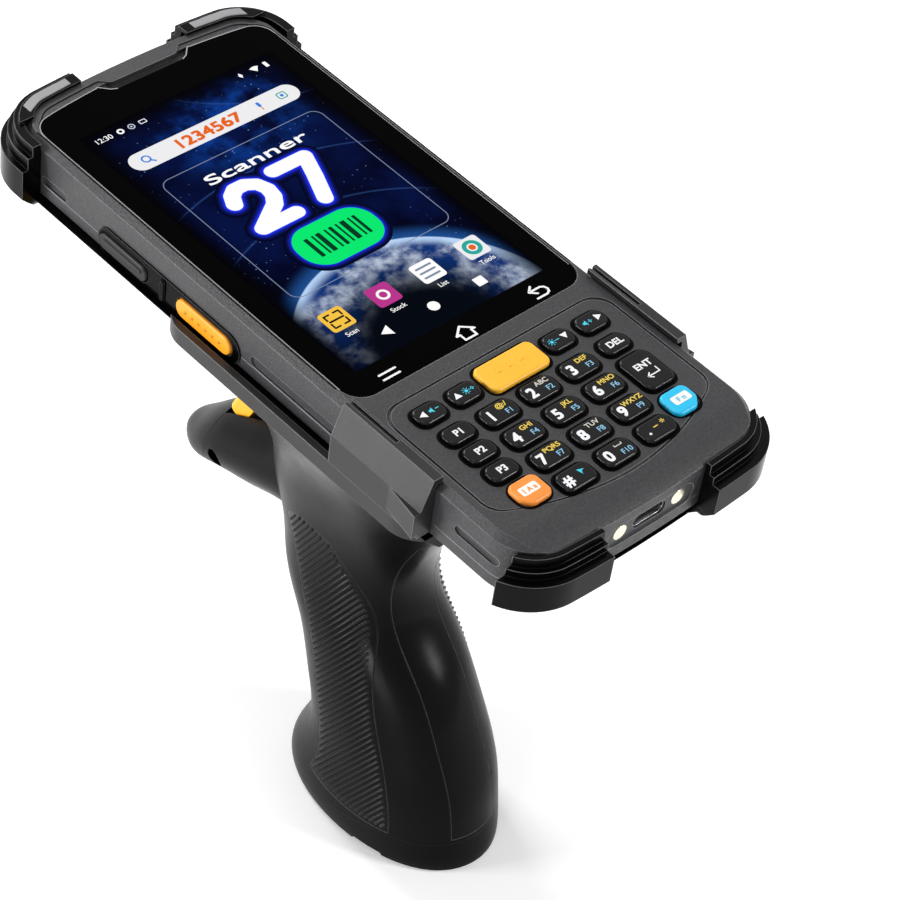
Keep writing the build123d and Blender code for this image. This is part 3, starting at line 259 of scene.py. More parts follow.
@dataclass(frozen=True)
class Wallpaper(Lit):
    """The display's picture: a dark sky, a cloud of stars, faint arcs and a planet's limb."""

    def paint(self, tree: Tree, place: Socket) -> Socket:
        """Paint the picture from noise and distances in the plane of the display."""

        def clouds(size: float, detail: float, start: float, end: float) -> Socket:
            """Mask of drifting patches of a size in mm, thinned out by the start and the end."""
            patches = add_node(tree, "TexNoise", {"Vector": place, "Scale": 1 / (size * MM),
                                                  "Detail": detail, "Roughness": 0.62})
            return add_node(tree, "MapRange", {
                "Value": patches.outputs["Fac"], "From Min": start, "From Max": end},
                interpolation_type="SMOOTHSTEP").outputs["Result"]

        def halo(middle: Point, start: float, end: float, ring: float = 0.0) -> Socket:
            """Mask that grows between two distances in mm from a point, or from a ring round it."""
            point = Vector((middle[0] + DISPLAY_MIDDLE[0], middle[1] + DISPLAY_MIDDLE[1], GLASS_TOP))
            gap = add_node(tree, "VectorMath", {0: place, 1: point * MM}, operation="DISTANCE")
            past = add_node(tree, "Math", {0: gap.outputs["Value"], 1: ring * MM},
                            operation="SUBTRACT")
            off = add_node(tree, "Math", {0: past.outputs[0]}, operation="ABSOLUTE")
            return add_node(tree, "MapRange", {
                "Value": off.outputs[0], "From Min": start * MM, "From Max": end * MM},
                interpolation_type="SMOOTHSTEP").outputs["Result"]

        def lay(under: Socket | str, over: Socket | str, mask: Socket,
                share: Socket | float = 1.0) -> Socket:
            """Lay one colour over another by a share of a mask."""
            show = add_node(tree, "Math", {0: mask, 1: share}, operation="MULTIPLY").outputs[0]
            below, above = (linear(colour) if isinstance(colour, str) else colour
                            for colour in (under, over))
            return add_node(tree, "MixRGB", {"Fac": show, "Color1": below,
                                             "Color2": above}).outputs["Color"]

        planet, radius = (-4.5, -47.0), 30.4
        air, haze, dusk, night = 4.6, 2.9, 1.4, 16.4  # reach of each from the planet's outline
        nebula, nebula_reach = (3.0, 31.0), 24.0
        arcs, line = ((planet, 46.0), (planet, 62.0), ((30.0, 70.0), 42.0)), 0.35
        star_spacing = 1.5
        sky = lay("01021A", "031040", clouds(22.0, 3.0, 0.35, 0.7))
        sky = lay(sky, "0C3F9A", halo(nebula, nebula_reach, 3.0), clouds(7.0, 8.0, 0.38, 0.7))
        cells = add_node(tree, "TexVoronoi", {"Vector": place, "Scale": 1 / (star_spacing * MM)})
        stars = add_node(tree, "MapRange", {
            "Value": cells.outputs["Distance"], "From Min": 0.13, "From Max": 0.05},
            interpolation_type="SMOOTHSTEP")
        sky = lay(sky, "8FB4E8", stars.outputs["Result"], clouds(9.0, 2.0, 0.4, 0.75))
        for middle, ring in arcs:
            sky = lay(sky, "3A5FA8", halo(middle, line, 0.05, ring), 0.3)
        sky = lay(sky, "2A6AC0", halo(planet, radius + air, radius), 0.5)
        ground = lay("0C3478", "D6E4F6", clouds(6.5, 9.0, 0.42, 0.72))
        ground = lay(ground, "020610", halo(planet, radius - dusk, radius - night))
        ground = lay(ground, "BFDCFF", halo(planet, radius - haze, radius + 0.2), 0.9)
        picture = lay(sky, ground, halo(planet, radius + 0.4, radius))
        # The picture darkens towards the sides and the top of the display.
        side_fade, top_fade = 7.0, 8.0
        across = add_node(tree, "SeparateXYZ", {"Vector": place}).outputs
        side = add_node(tree, "Math", {0: across["X"]}, operation="ABSOLUTE").outputs[0]
        top = DISPLAY_MIDDLE[1] + DISPLAY_HALF[1]
        for value, rim, fade in ((side, DISPLAY_HALF[0], side_fade), (across["Y"], top, top_fade)):
            dark = add_node(tree, "MapRange", {
                "Value": value, "From Min": (rim - fade) * MM, "From Max": rim * MM},
                interpolation_type="SMOOTHSTEP")
            picture = lay(picture, self.colour, dark.outputs["Result"])
        return picture


# Spark-eroded ABS: the mould's pitting scatters the light into a speckled grey satin, and that
# speckle is painted into the colour as glints. The real pits are about 0.1 mm, and they are drawn
# coarser, so that they show. A highlight is painted along its open edges.
TEXTURED_ABS = Finish("spark_eroded_black_abs", "000000", "3E3E41", 0.46, 0.05, ior=1.45, grain=0.42,
                      relief=0.085, mottle=0.6, soft_edge=0.35, edge="8A8A8C")
# Spark-eroded ABS of the sled: a smoother, darker satin, its pits drawn coarser than real too.
# A highlight is painted along its open edges.
SLED_ABS = Finish("spark_eroded_black_glass_filled_abs", "101012", "151517", 0.42, ior=1.42,
                  grain=0.34, relief=0.02, soft_edge=0.4, edge="77777A")
# Satin ABS: smoother moulding, so broad soft highlights run along its curves.
# A faint highlight is painted along its open edges.
SATIN_ABS = Finish("satin_moulded_black_abs", "030303", "050505", 0.3, 0.05, ior=1.16,
                   grain=0.4, relief=0.004, soft_edge=0.3, edge="1A1A1C")
# Overmoulded elastomer: deep black, with thin highlights painted along its steps.
ELASTOMER = Finish("overmoulded_black_elastomer", "030303", "050505", 0.22, ior=1.17,
                   grain=0.5, relief=0.005, soft_edge=0.35, edge="6E6E70")
# Textured plates let into the guards' tops, grey against the gloss: partly their own etched grey,
# partly a painted highlight for the light that the up-facing tops catch.
PLATE_AND_HIGHLIGHT = Finish("coarse_etched_grey_abs_plate", "828284", "9A9A9C", 0.5, 0.05, grain=0.3,
                   relief=0.05)
# Painted highlight where the bezel meets the glass: a thin pale line for the light that the glass's
# polished edge catches.
CHAMFER_HIGHLIGHT = Finish("polished_abs_chamfer", "98989C", "A6A6AA", 0.3, 0.05, relief=0.002)
# Painted shade: a black ring round each key, and a dark line along each long side of the bezel, where
# the gaps lie in shadow.
GAP_SHADE = Finish("matt_black_key_well", "020202", "030303", 0.5, 0.05, ior=1.1, relief=0.002)
# Elastomer of the ribbed panels, duller on its fine serrations.
RIB_ELASTOMER = Finish("ribbed_black_elastomer", "060607", "0A0A0B", 0.34, 0.05, ior=1.3,
                       grain=0.3, relief=0.004, soft_edge=0.05)
# Gloss ABS of the frames round the side keys: black, with a crisp rim of light painted along its
# edges.
GLOSS_ABS = Finish("gloss_moulded_black_abs", "020202", "040404", 0.16, 0.04, ior=1.12,
                   grain=0.6, relief=0.002, soft_edge=0.3, edge="6A6A6C")
# Coated cover glass: the anti-reflex layer keeps it black where no lamp shows in it.
COVER_GLASS = Finish("anti_reflex_coated_black_glass", "010101", "020202", 0.05, 0.02, ior=1.06,
                     grain=4.0, relief=0.0005, mottle=20.0, soft_edge=0.35)
# Hard-coated polycarbonate key caps: a tight highlight along each rounded edge, partly from the
# rounded shading and partly painted.
KEY_CAP = Finish("hard_coated_black_polycarbonate", "0A0A0B", "0E0E10", 0.24, 0.04, ior=1.28,
                 grain=0.8, relief=0.002, soft_edge=0.15, edge="3A3A3D")
# Satin ABS of the volume key: greyer than the gloss frame that it sits in, with a highlight
# painted along its edges.
VOLUME_CAP = Finish("satin_moulded_grey_black_abs", "121213", "161618", 0.36, 0.04, ior=1.3,
                    grain=0.5, relief=0.004, edge="5A5A5C")
# Solid-dyed polycarbonate of the coloured keys: even bright colour with a soft broad highlight.
AMBER_CAP = Finish("moulded_amber_polycarbonate", "F7B428", "FABE38", 0.42, 0.04, ior=1.45,
                   relief=0.003)
SIDE_AMBER = Finish("moulded_orange_polycarbonate", "EF9210", "F59C1C", 0.4, 0.04, ior=1.45,
                    relief=0.003)
ORANGE_CAP = Finish("moulded_deep_orange_polycarbonate", "F38A30", "F79A44", 0.4, 0.04, ior=1.45,
                    relief=0.003)
CYAN_CAP = Finish("moulded_cyan_polycarbonate", "14B4E4", "2CC4EE", 0.38, 0.04, ior=1.45,
                  relief=0.003)
# Orange of the small rounds that the fingertip feels on the side scan keys, darkened as painted shade
# so that they stand out.
SHADED_SIDE_ROUND = Finish("moulded_dark_orange_polycarbonate", "C46E08", "CC7810", 0.4, 0.04, ior=1.45,
                    relief=0.003)
# Yellow ABS of the trigger: a plain moulded satin, so it reads as one clear colour.
TRIGGER_ABS = Finish("moulded_yellow_abs", "F0A80E", "F6B41E", 0.42, 0.05, relief=0.004)
# Two-shot label window in a cap: the paler plastic shows flush with the key.
LABEL_WINDOW = Finish("translucent_white_label", "EDEBE2", "F6F5EE", 0.45, 0.03, relief=0.002)
# Silicone sheet under the keys: dull, with no highlight.
SILICONE = Finish("compression_moulded_grey_silicone", "1E1E20", "262628", 0.65, 0.05)
# Circuit board: a clear gloss over mottled green.
SOLDER_MASK = Finish("green_solder_mask_laminate", "12452A", "175634", 0.35, 0.05, ior=1.55,
                     coat=0.3)
# Battery sleeve: smooth shrunk film with a soft shine.
SLEEVE = Finish("shrunk_grey_battery_sleeve", "2B2C2F", "333438", 0.35, 0.05)
# Scan window: near black with a red cast, and a sharp reflection.
TINTED_WINDOW = Finish("dark_red_tinted_acrylic", "1A0408", "23060B", 0.08, 0.02, ior=1.49,
                       relief=0.001, coat=1.0)
# Dock contacts: pale warm metal that mirrors the studio.
GOLD_PLATE = Finish("gold_plated_brass_contact", "EFE6C8", "F4ECD4", 0.25, 0.05, metallic=1.0,
                    relief=0.002)
# Spring, pin and socket shell: bright metal with slightly blurred reflections.
STEEL = Finish("drawn_stainless_steel", "9C9C9E", "A8A8AA", 0.3, 0.08, metallic=1.0)
# Screws: dark metal that still glints.
BLACK_ZINC = Finish("black_zinc_plated_steel", "2A2A2C", "343437", 0.36, 0.08, metallic=1.0)
# The picture behind the signs, which fades to this blue-black at its rim.
WALLPAPER = Wallpaper("lit_display_picture", "000004")


class Ink(Enum):
    """Inks of the printed and lasered legends."""

    WHITE = ("screen_printed_white_ink", "EDEEF0")
    YELLOW = ("screen_printed_yellow_ink", "E6C850")
    BLUE = ("screen_printed_pale_blue_ink", "86BCDC")
    CYAN = ("screen_printed_cyan_ink", "3FC8E2")
    FAINT = ("screen_printed_warm_grey_ink", "C9C4B8")

    def build(self) -> Material:
        """Build this ink's material."""
        return Finish(*self.value, roughness=0.5, spread=0.03, grain=0.3, relief=0.002).build()


class Pixel(Enum):
    """Colours that the display lights over its picture."""

    WHITE = ("lit_white_pixels", "FFFFFF")
    PALE = ("lit_pale_grey_pixels", "C9D2E2")
    FRAME = ("lit_grey_line_pixels", "7F8CA6")
    PILL = ("lit_off_white_pixels", "EEEEF0")
    ORANGE = ("lit_orange_pixels", "E8641E")
    BLUE = ("lit_blue_pixels", "3B7DE0")
    GREEN = ("lit_green_pixels", "08E870")
    INSIDE = ("lit_dark_green_pixels", "043A22")
    AMBER = ("lit_amber_pixels", "F6C445")
    MAGENTA = ("lit_magenta_pixels", "B8368C")
    TEAL = ("lit_teal_pixels", "2AA79B")
    DARK = ("lit_black_pixels", "101216")

    def build(self) -> Material:
        """Build this colour's material."""
        return Lit(*self.value).build()


Surface = Finish | Ink | Pixel
GLOW_STEPS = 10


def glow(step: int) -> Lit:
    """One ring of the blue glow, from the faint outside to the bright inside."""
    faint, bright = (1, 4, 30), (30, 52, 255)
    share = (step / (GLOW_STEPS - 1)) ** 1.6
    colour = "".join(f"{round(low + (high - low) * share):02X}" for low, high in zip(faint, bright))
    return Lit(f"lit_blue_glow_pixels_{step}", colour)


# --- Meshes -------------------------------------------------------------------------------


def add_object(name: str, data: bpy.types.ID) -> bpy.types.Object:
    """Link a new object with its data into the scene."""
    thing = bpy.data.objects.new(name, data)
    bpy.context.scene.collection.objects.link(thing)
    return thing


def new_mesh(name: str, bm: bmesh.types.BMesh) -> Mesh:
    """Turn a bmesh into a mesh, which uses it up."""
    mesh = bpy.data.meshes.new(name)
    bm.to_mesh(mesh)
    bm.free()
    return mesh


def new_piece(name: str, mesh: Mesh, body: str, materials: list[Material]) -> bpy.types.Object:
    """Put a mesh into the scene as a piece that rides on a body.

    Args:
        name: The piece's name.
        mesh: Its mesh, in metres in the row frame.
        body: The body that it rides on.
        materials: The materials of its slots.

    Returns:
        The new object.
    """
    for material in materials:
        mesh.materials.append(material)
    piece = add_object(name, mesh)
    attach(piece, body)
    LOG.info("%s rides on %s", name, body)
    return piece


def dress(node: str, finish: Finish) -> None:
    """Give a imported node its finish."""
    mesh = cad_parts[node].data
    mesh.materials.clear()
    mesh.materials.append(finish.build())
    LOG.info("%s is dressed in %s", node, finish.name)


def node_box(node: str) -> tuple[Vector, Vector]:
    """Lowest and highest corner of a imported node, in mm."""
    corners = [vertex.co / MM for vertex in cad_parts[node].data.vertices]
    return (Vector([min(c[axis] for c in corners) for axis in range(3)]),
            Vector([max(c[axis] for c in corners) for axis in range(3)]))


def surface_tree(node: str) -> BVHTree:
    """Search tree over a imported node's faces."""
    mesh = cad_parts[node].data
    return BVHTree.FromPolygons([v.co for v in mesh.vertices],
                                [tuple(p.vertices) for p in mesh.polygons])


def arc(middle: Point, radius: float, start: float, sweep: float, steps: int) -> Outline:
    """Points along an arc, given by the angles in degrees where it starts and that it turns by."""
    turns = [math.radians(start + sweep * step / steps) for step in range(steps + 1)]
    return [(middle[0] + radius * math.cos(turn), middle[1] + radius * math.sin(turn))
            for turn in turns]


def rounded_outline(width: float, height: float, radius: float, steps: int = 6) -> Outline:
    """Outline of a rounded rectangle about the origin, counter-clockwise.

    Args:
        width: Size along the first axis.
        height: Size along the second axis.
        radius: Corner radius.
        steps: Segments per corner.

    Returns:
        The outline's points.
    """
    x, y = width / 2 - radius, height / 2 - radius
    corners = ((x, y, 0), (-x, y, 90), (-x, -y, 180), (x, -y, 270))
    return [point for right, up, start in corners
            for point in arc((right, up), radius, start, 90, steps)]


def disc_outline(radius: float, steps: int = 32) -> Outline:
    """Outline of a disc about the origin."""
    return arc((0, 0), radius, 0, 360, steps)[:-1]


def band(bm: bmesh.types.BMesh, first: Corners, second: Corners) -> list[bmesh.types.BMFace]:
    """Join two closed rings of as many corners by a band of faces."""
    after = [*range(1, len(first)), 0]
    return [bm.faces.new((first[i], first[j], second[j], second[i])) for i, j in enumerate(after)]


@dataclass(frozen=True)
class Lettering:
    """How characters are set.

    Attributes:
        size: Height of a capital in mm.
        weight: How far each of the shifted copies that thicken it goes, as a share of the size.
        stretch: Width against the font's own.
    """

    size: float
    weight: float = 0.03
    stretch: float = 1.0


class Decal:
    """Flat printed or lit shapes, gathered into one thin mesh.

    Shapes are placed in mm about the decal's own origin, with x to the right and y up.
    """

    def __init__(self, name: str, height: float, origin: Point = (0.0, 0.0)) -> None:
        """Start an empty decal whose plane stands at a height in mm."""
        self.name = name
        self.height = height
        self.origin = origin
        self.bm = bmesh.new()
        self.materials: list[Material] = []

    def slot(self, surface: Surface) -> int:
        """Number of a surface's material slot in this decal."""
        material = surface.build()
        if material not in self.materials:
            self.materials.append(material)
        return self.materials.index(material)

    def fill(self, outline: Outline, centre: Point, surface: Surface, lift: float = 0.0,
             hole: Outline | None = None, turn: float = 0.0) -> None:
        """Fill an outline, with a hole of as many points if one is given.

        Args:
            outline: Points about the shape's own centre.
            centre: Where that centre goes.
            surface: Ink or light of the shape.
            lift: Extra height in mm, for a shape that lies on another.
            hole: Inner outline, with as many points as the outer one.
            turn: Rotation in degrees.
        """
        number = self.slot(surface)
        middle = (self.origin[0] + centre[0], self.origin[1] + centre[1])
        cosine, sine = math.cos(math.radians(turn)), math.sin(math.radians(turn))

        def ring(points: Outline) -> Corners:
            """Add one outline's corners."""
            return [self.bm.verts.new((MM * (middle[0] + x * cosine - y * sine),
                                       MM * (middle[1] + x * sine + y * cosine),
                                       MM * (self.height + lift))) for x, y in points]

        outer = ring(outline)
        faces = band(self.bm, outer, ring(hole)) if hole else [self.bm.faces.new(outer)]
        for face in faces:
            face.material_index = number

    def stroke(self, points: Outline, width: float, surface: Surface, lift: float = 0.0) -> None:
        """Draw a line with round ends and joints through the points, each run a hair higher."""
        for number, ((x0, y0), (x1, y1)) in enumerate(zip(points, points[1:])):
            length = math.hypot(x1 - x0, y1 - y0)
            self.fill(rounded_outline(length + width, width, 0.499 * width),
                      ((x0 + x1) / 2, (y0 + y1) / 2), surface, lift + INK_STEP * number,
                      turn=math.degrees(math.atan2(y1 - y0, x1 - x0)))

    def write(self, words: str, centre: Point, style: Lettering, surface: Surface,
              lift: float = 0.0) -> None:
        """Write characters centred on a point, thickened by laying shifted copies together.

        Args:
            words: The characters.
            centre: Middle of the line.
            style: Their size and weight.
            surface: Ink or light of the characters.
            lift: Extra height in mm.
        """
        capital = 0.73  # height of the font's capitals at a size of 1
        number = self.slot(surface)
        curve = bpy.data.curves.new(self.name + "_text", "FONT")
        curve.body = words
        curve.size = 1.0
        curve.resolution_u = 8
        curve.align_x = "CENTER"
        holder = bpy.data.objects.new(self.name + "_text", curve)
        mesh = bpy.data.meshes.new_from_object(holder)
        scale = style.size / capital
        mesh.transform(Matrix.Diagonal((scale * style.stretch * MM, scale * MM, MM, 1.0)))
        start = len(self.bm.faces)
        shift = style.weight * style.size
        foot = Vector((self.origin[0] + centre[0], self.origin[1] + centre[1] - style.size / 2,
                       self.height + lift))
        for copy, (side_x, side_y) in enumerate(((-1, -1), (1, -1), (1, 1), (-1, 1))):
            place = (foot + Vector((side_x * shift, side_y * shift, INK_STEP * copy))) * MM
            mesh.transform(Matrix.Translation(place))
            self.bm.from_mesh(mesh)
            mesh.transform(Matrix.Translation(-place))
        self.bm.faces.ensure_lookup_table()
        for face in self.bm.faces[start:]:
            face.material_index = number
        bpy.data.objects.remove(holder)
        bpy.data.curves.remove(curve)
        bpy.data.meshes.remove(mesh)

    def finish(self, body: str) -> bpy.types.Object:
        """Turn what was gathered into a piece that rides on a body."""
        return new_piece(self.name, new_mesh(self.name, self.bm), body, self.materials)


class Relief:
    """Small raised shapes of one finish on one face, gathered into a mesh of closed prisms."""

    def __init__(self, name: str, origin: Vector, across: Vector, up: Vector,
                 finish: Finish) -> None:
        """Start empty, on a plane through the origin given in mm."""
        self.name = name
        self.origin = origin
        self.across = across
        self.up = up
        self.surface = finish
        self.bm = bmesh.new()

    def add(self, outline: Outline, centre: Point, low: float, high: float, bevel: float) -> None:
        """Raise an outline between two heights, with a bevelled top edge.

        Args:
            outline: Points about the shape's own centre, counter-clockwise.
            centre: Where that centre goes on the plane.
            low: Height of the foot, below the face it stands on.
            high: Height of the top.
            bevel: Width of the bevel round the top.
        """
        out = self.across.cross(self.up)
        reach = max(math.hypot(x, y) for x, y in outline)
        span_x = max(abs(x) for x, _ in outline)
        span_y = max(abs(y) for _, y in outline)
        rings = []
        for height, inset in ((low, 0.0), (high - min(bevel, reach / 2), 0.0), (high, bevel)):
            ring = []
            for x, y in outline:
                place = (self.origin + self.across * (centre[0] + x * (1 - inset / span_x))
                         + self.up * (centre[1] + y * (1 - inset / span_y)) + out * height)
                ring.append(self.bm.verts.new(place * MM))
            rings.append(ring)
        self.bm.faces.new(rings[0][::-1])
        self.bm.faces.new(rings[-1])
        for below, above in zip(rings, rings[1:]):
            band(self.bm, below, above)

    def finish(self, body: str) -> bpy.types.Object:
        """Turn what was gathered into a piece that rides on a body."""
        return new_piece(self.name, new_mesh(self.name, self.bm), body, [self.surface.build()])


@dataclass
class RibField:
    """Slanting serrated ribs that stand on a grip panel.

    Attributes:
        node: The panel.
        side: -1 on the left of the grip and 1 on its right.
        pitch: Distance between ribs in mm.
        step: Distance between samples along a rib, which is half a serration.
        width: Width of a rib's foot.
        crest: Width of its flat top, as a share of the foot's.
        height: Height of a rib, and of the low places of its serrations.
        sunk: How far its foot reaches into the panel.
        margin: Bare border round the field.
        slope: Degrees by which the ribs rise toward the back of the grip.
        middle: Y and Z of the place that the field is laid out from.
        reach: Ribs and samples that are tried either side of the middle.
        shortest: Samples in the shortest rib.
    """

    node: str
    side: int
    pitch: float = 1.2
    step: float = 0.32
    width: float = 0.95
    crest: float = 0.28
    height: tuple[float, float] = (0.38, 0.24)
    sunk: float = 0.08
    margin: float = 0.3
    slope: float = 59.0
    middle: Point = (5.0, 46.0)
    reach: tuple[int, int] = (45, 220)
    shortest: int = 4
    tree: BVHTree = field(init=False)

    def build(self, body: str, finish: Finish) -> None:
        """Raise the ribs wherever the panel has a face under them."""
        self.tree = surface_tree(self.node)
        slope = math.radians(self.slope)
        along = Vector((0, -math.cos(slope), math.sin(slope)))
        across = Vector((0, along.z, -along.y))
        middle = Vector((0, *self.middle))
        ribs, samples = self.reach
        bm = bmesh.new()
        for number in range(-ribs, ribs + 1):
            run: list[Vector] = []
            for count in range(-samples, samples + 1):
                place = middle + across * (number * self.pitch) + along * (count * self.step)
                if self.inside(place):
                    run.append(place)
                    continue
                self.rib(bm, run, across)
                run = []
        name = self.node + "_ribs"
        new_piece(name, new_mesh(name, bm), body, [finish.build()])

    def surface(self, place: Vector) -> float | None:
        """Distance of the panel's outer face from the middle plane at a place, in mm."""
        outside, least_lean = 60.0, 0.15
        start = Vector((self.side * outside, place.y, place.z)) * MM
        hit, normal, _, _ = self.tree.ray_cast(start, -self.side * X_AXIS, outside * MM)
        if hit is None or self.side * normal.x < least_lean:
            return None
        return hit.x / MM

    def inside(self, place: Vector) -> bool:
        """Whether the panel has its outer face at and all round a place."""
        reach = self.margin + self.width / 2
        return all(self.surface(place + Vector((0, y, z))) is not None
                   for y, z in ((0, 0), (reach, 0), (-reach, 0), (0, reach), (0, -reach)))

    def rib(self, bm: bmesh.types.BMesh, run: list[Vector], across: Vector) -> None:
        """Build one closed rib along a run of places."""
        if len(run) < self.shortest:
            return
        rings = []
        for count, place in enumerate(run):
            tall = 0.0 if count in (0, len(run) - 1) else self.height[count % 2]
            ring = []
            for share, lift in ((-0.5, -self.sunk), (-self.crest / 2, tall),
                                (self.crest / 2, tall), (0.5, -self.sunk)):
                foot = place + across * (share * self.width)
                x = self.surface(foot) + self.side * lift
                ring.append(bm.verts.new(Vector((x, foot.y, foot.z)) * MM))
            rings.append(ring)
        for first, second in zip(rings, rings[1:]):
            band(bm, first, second)
        bm.faces.new(rings[0][::-1])
        bm.faces.new(rings[-1])


# --- Sub-assemblies -----------------------------------------------------------------------


@dataclass
class SubAssembly:
    """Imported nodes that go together, and the details that stand on them.

    Attributes:
        finishes: The nodes of each finish.
    """

    finishes: dict[Finish, tuple[str, ...]]

    def build(self) -> None:
        """Dress the nodes, then add the details."""
        for finish, nodes in self.finishes.items():
            for node in nodes:
                dress(node, finish)
        self.detail()

    def detail(self) -> None:
        """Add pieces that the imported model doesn't have. Plain sub-assemblies have none."""


@dataclass
class Casing(SubAssembly):
    """The terminal's two housings, boot, guards and what shows through them."""

    def detail(self) -> None:
        """Add the plates on the guards and the relief of the side keys."""
        for word, side in SIDES:
            self.scan_key_rounds(word, side)
            self.side_bar(word, side)
        self.volume_ledge()
        for word, side in SIDES:
            self.guard_plate(word, side)

    def guard_plate(self, word: str, side: int) -> None:
        """Grey textured plate on the flat top of a guard at the scan end, its pale grey partly a
        painted highlight.
        """
        columns, first_x, column_step = 12, 17.0, 1.15
        tenths = range(950, 1150)
        flat, narrowest, width, border = 0.1, 1.4, 3.4, (0.5, 0.4)
        node = f"corner_guard_scan_{word}"
        tree = surface_tree(node)
        top = node_box(node)[1].z
        outer, inner = [], []
        for number in range(columns):
            x = side * (first_x + column_step * number)
            rows = [y / 10 for y in tenths
                    if (hit := tree.ray_cast(Vector((x, y / 10, top + 5)) * MM, -Z_AXIS)[0])
                    and hit.z / MM > top - flat]
            if rows and rows[-1] - rows[0] > narrowest:
                outer.append((x, rows[-1] - border[0]))
                inner.append((x, max(rows[0], rows[-1] - width) + border[1]))
        points = (outer + inner[::-1])[::side]
        middle = [sum(values) / len(points) for values in zip(*points)]
        plate = Relief(node + "_plate", Z_AXIS * top, X_AXIS, Y_AXIS, PLATE_AND_HIGHLIGHT)
        plate.add([(x - middle[0], y - middle[1]) for x, y in points], middle, low=-0.2, high=0.2,
                  bevel=0.12)
        plate.finish(HANDSET)

    def scan_key_rounds(self, word: str, side: int) -> None:
        """Six rounds in a row on a side scan key, in a darker orange that is painted shade."""
        node = f"scan_key_{word}"
        rounds, spacing, radius = 6, 0.115, 0.42
        low, high = node_box(node)
        middle = (low + high) / 2
        face = low.x if side < 0 else high.x
        relief = Relief(node + "_rounds", X_AXIS * face, Y_AXIS * side, Z_AXIS, SHADED_SIDE_ROUND)
        for number in range(rounds):
            y = middle.y + (high.y - low.y) * (number - (rounds - 1) / 2) * spacing
            relief.add(disc_outline(radius, 16), (side * y, middle.z), low=-0.1, high=0.14,
                       bevel=0.1)
        relief.finish(node + "_body")

    def side_bar(self, word: str, side: int) -> None:
        """Upright gloss bar between the two side keys."""
        y, z, width, height, corner = 52.4, 134.9, 1.7, 5.6, 0.7
        face = node_box("side_key_frames")[0 if side < 0 else 1].x
        bar = Relief(f"side_bar_{word}", X_AXIS * face, Y_AXIS * side, Z_AXIS, GLOSS_ABS)
        bar.add(rounded_outline(width, height, corner), (side * y, z), low=-0.3, high=0.55,
                bevel=0.35)
        bar.finish(HANDSET)

    def volume_ledge(self) -> None:
        """Raised ledge along the volume key."""
        share, width, above = 0.74, 1.0, 0.35
        low, high = node_box("volume_rocker")
        ledge = Relief("volume_ledge", X_AXIS * low.x, -Y_AXIS, Z_AXIS, VOLUME_CAP)
        ledge.add(rounded_outline(share * (high.y - low.y), width, 0.49 * width),
                  (-(low.y + high.y) / 2, (low.z + high.z) / 2 + above), low=-0.1, high=0.25,
                  bevel=0.2)
        ledge.finish("volume_rocker_body")


# Middle lines of the headline's digits, in a box 0.84 wide and 0.96 high.
DIGIT_LINES = {
    "2": [(-0.42, 0.68), (-0.3, 0.86), (-0.12, 0.96), (0.12, 0.96), (0.33, 0.86), (0.42, 0.68),
          (0.38, 0.5), (0.24, 0.34), (-0.42, 0.0), (0.44, 0.0)],
    "7": [(-0.42, 0.95), (0.42, 0.95), (0.2, 0.5), (-0.08, 0.0)],
}
CLOCK = Lettering(1.5, 0.01)
CAPTION = Lettering(1.25, 0.01)
SEARCH = Lettering(3.1, 0.045, 1.2)
HEADLINE = Lettering(3.1, 0.025, 2.0)


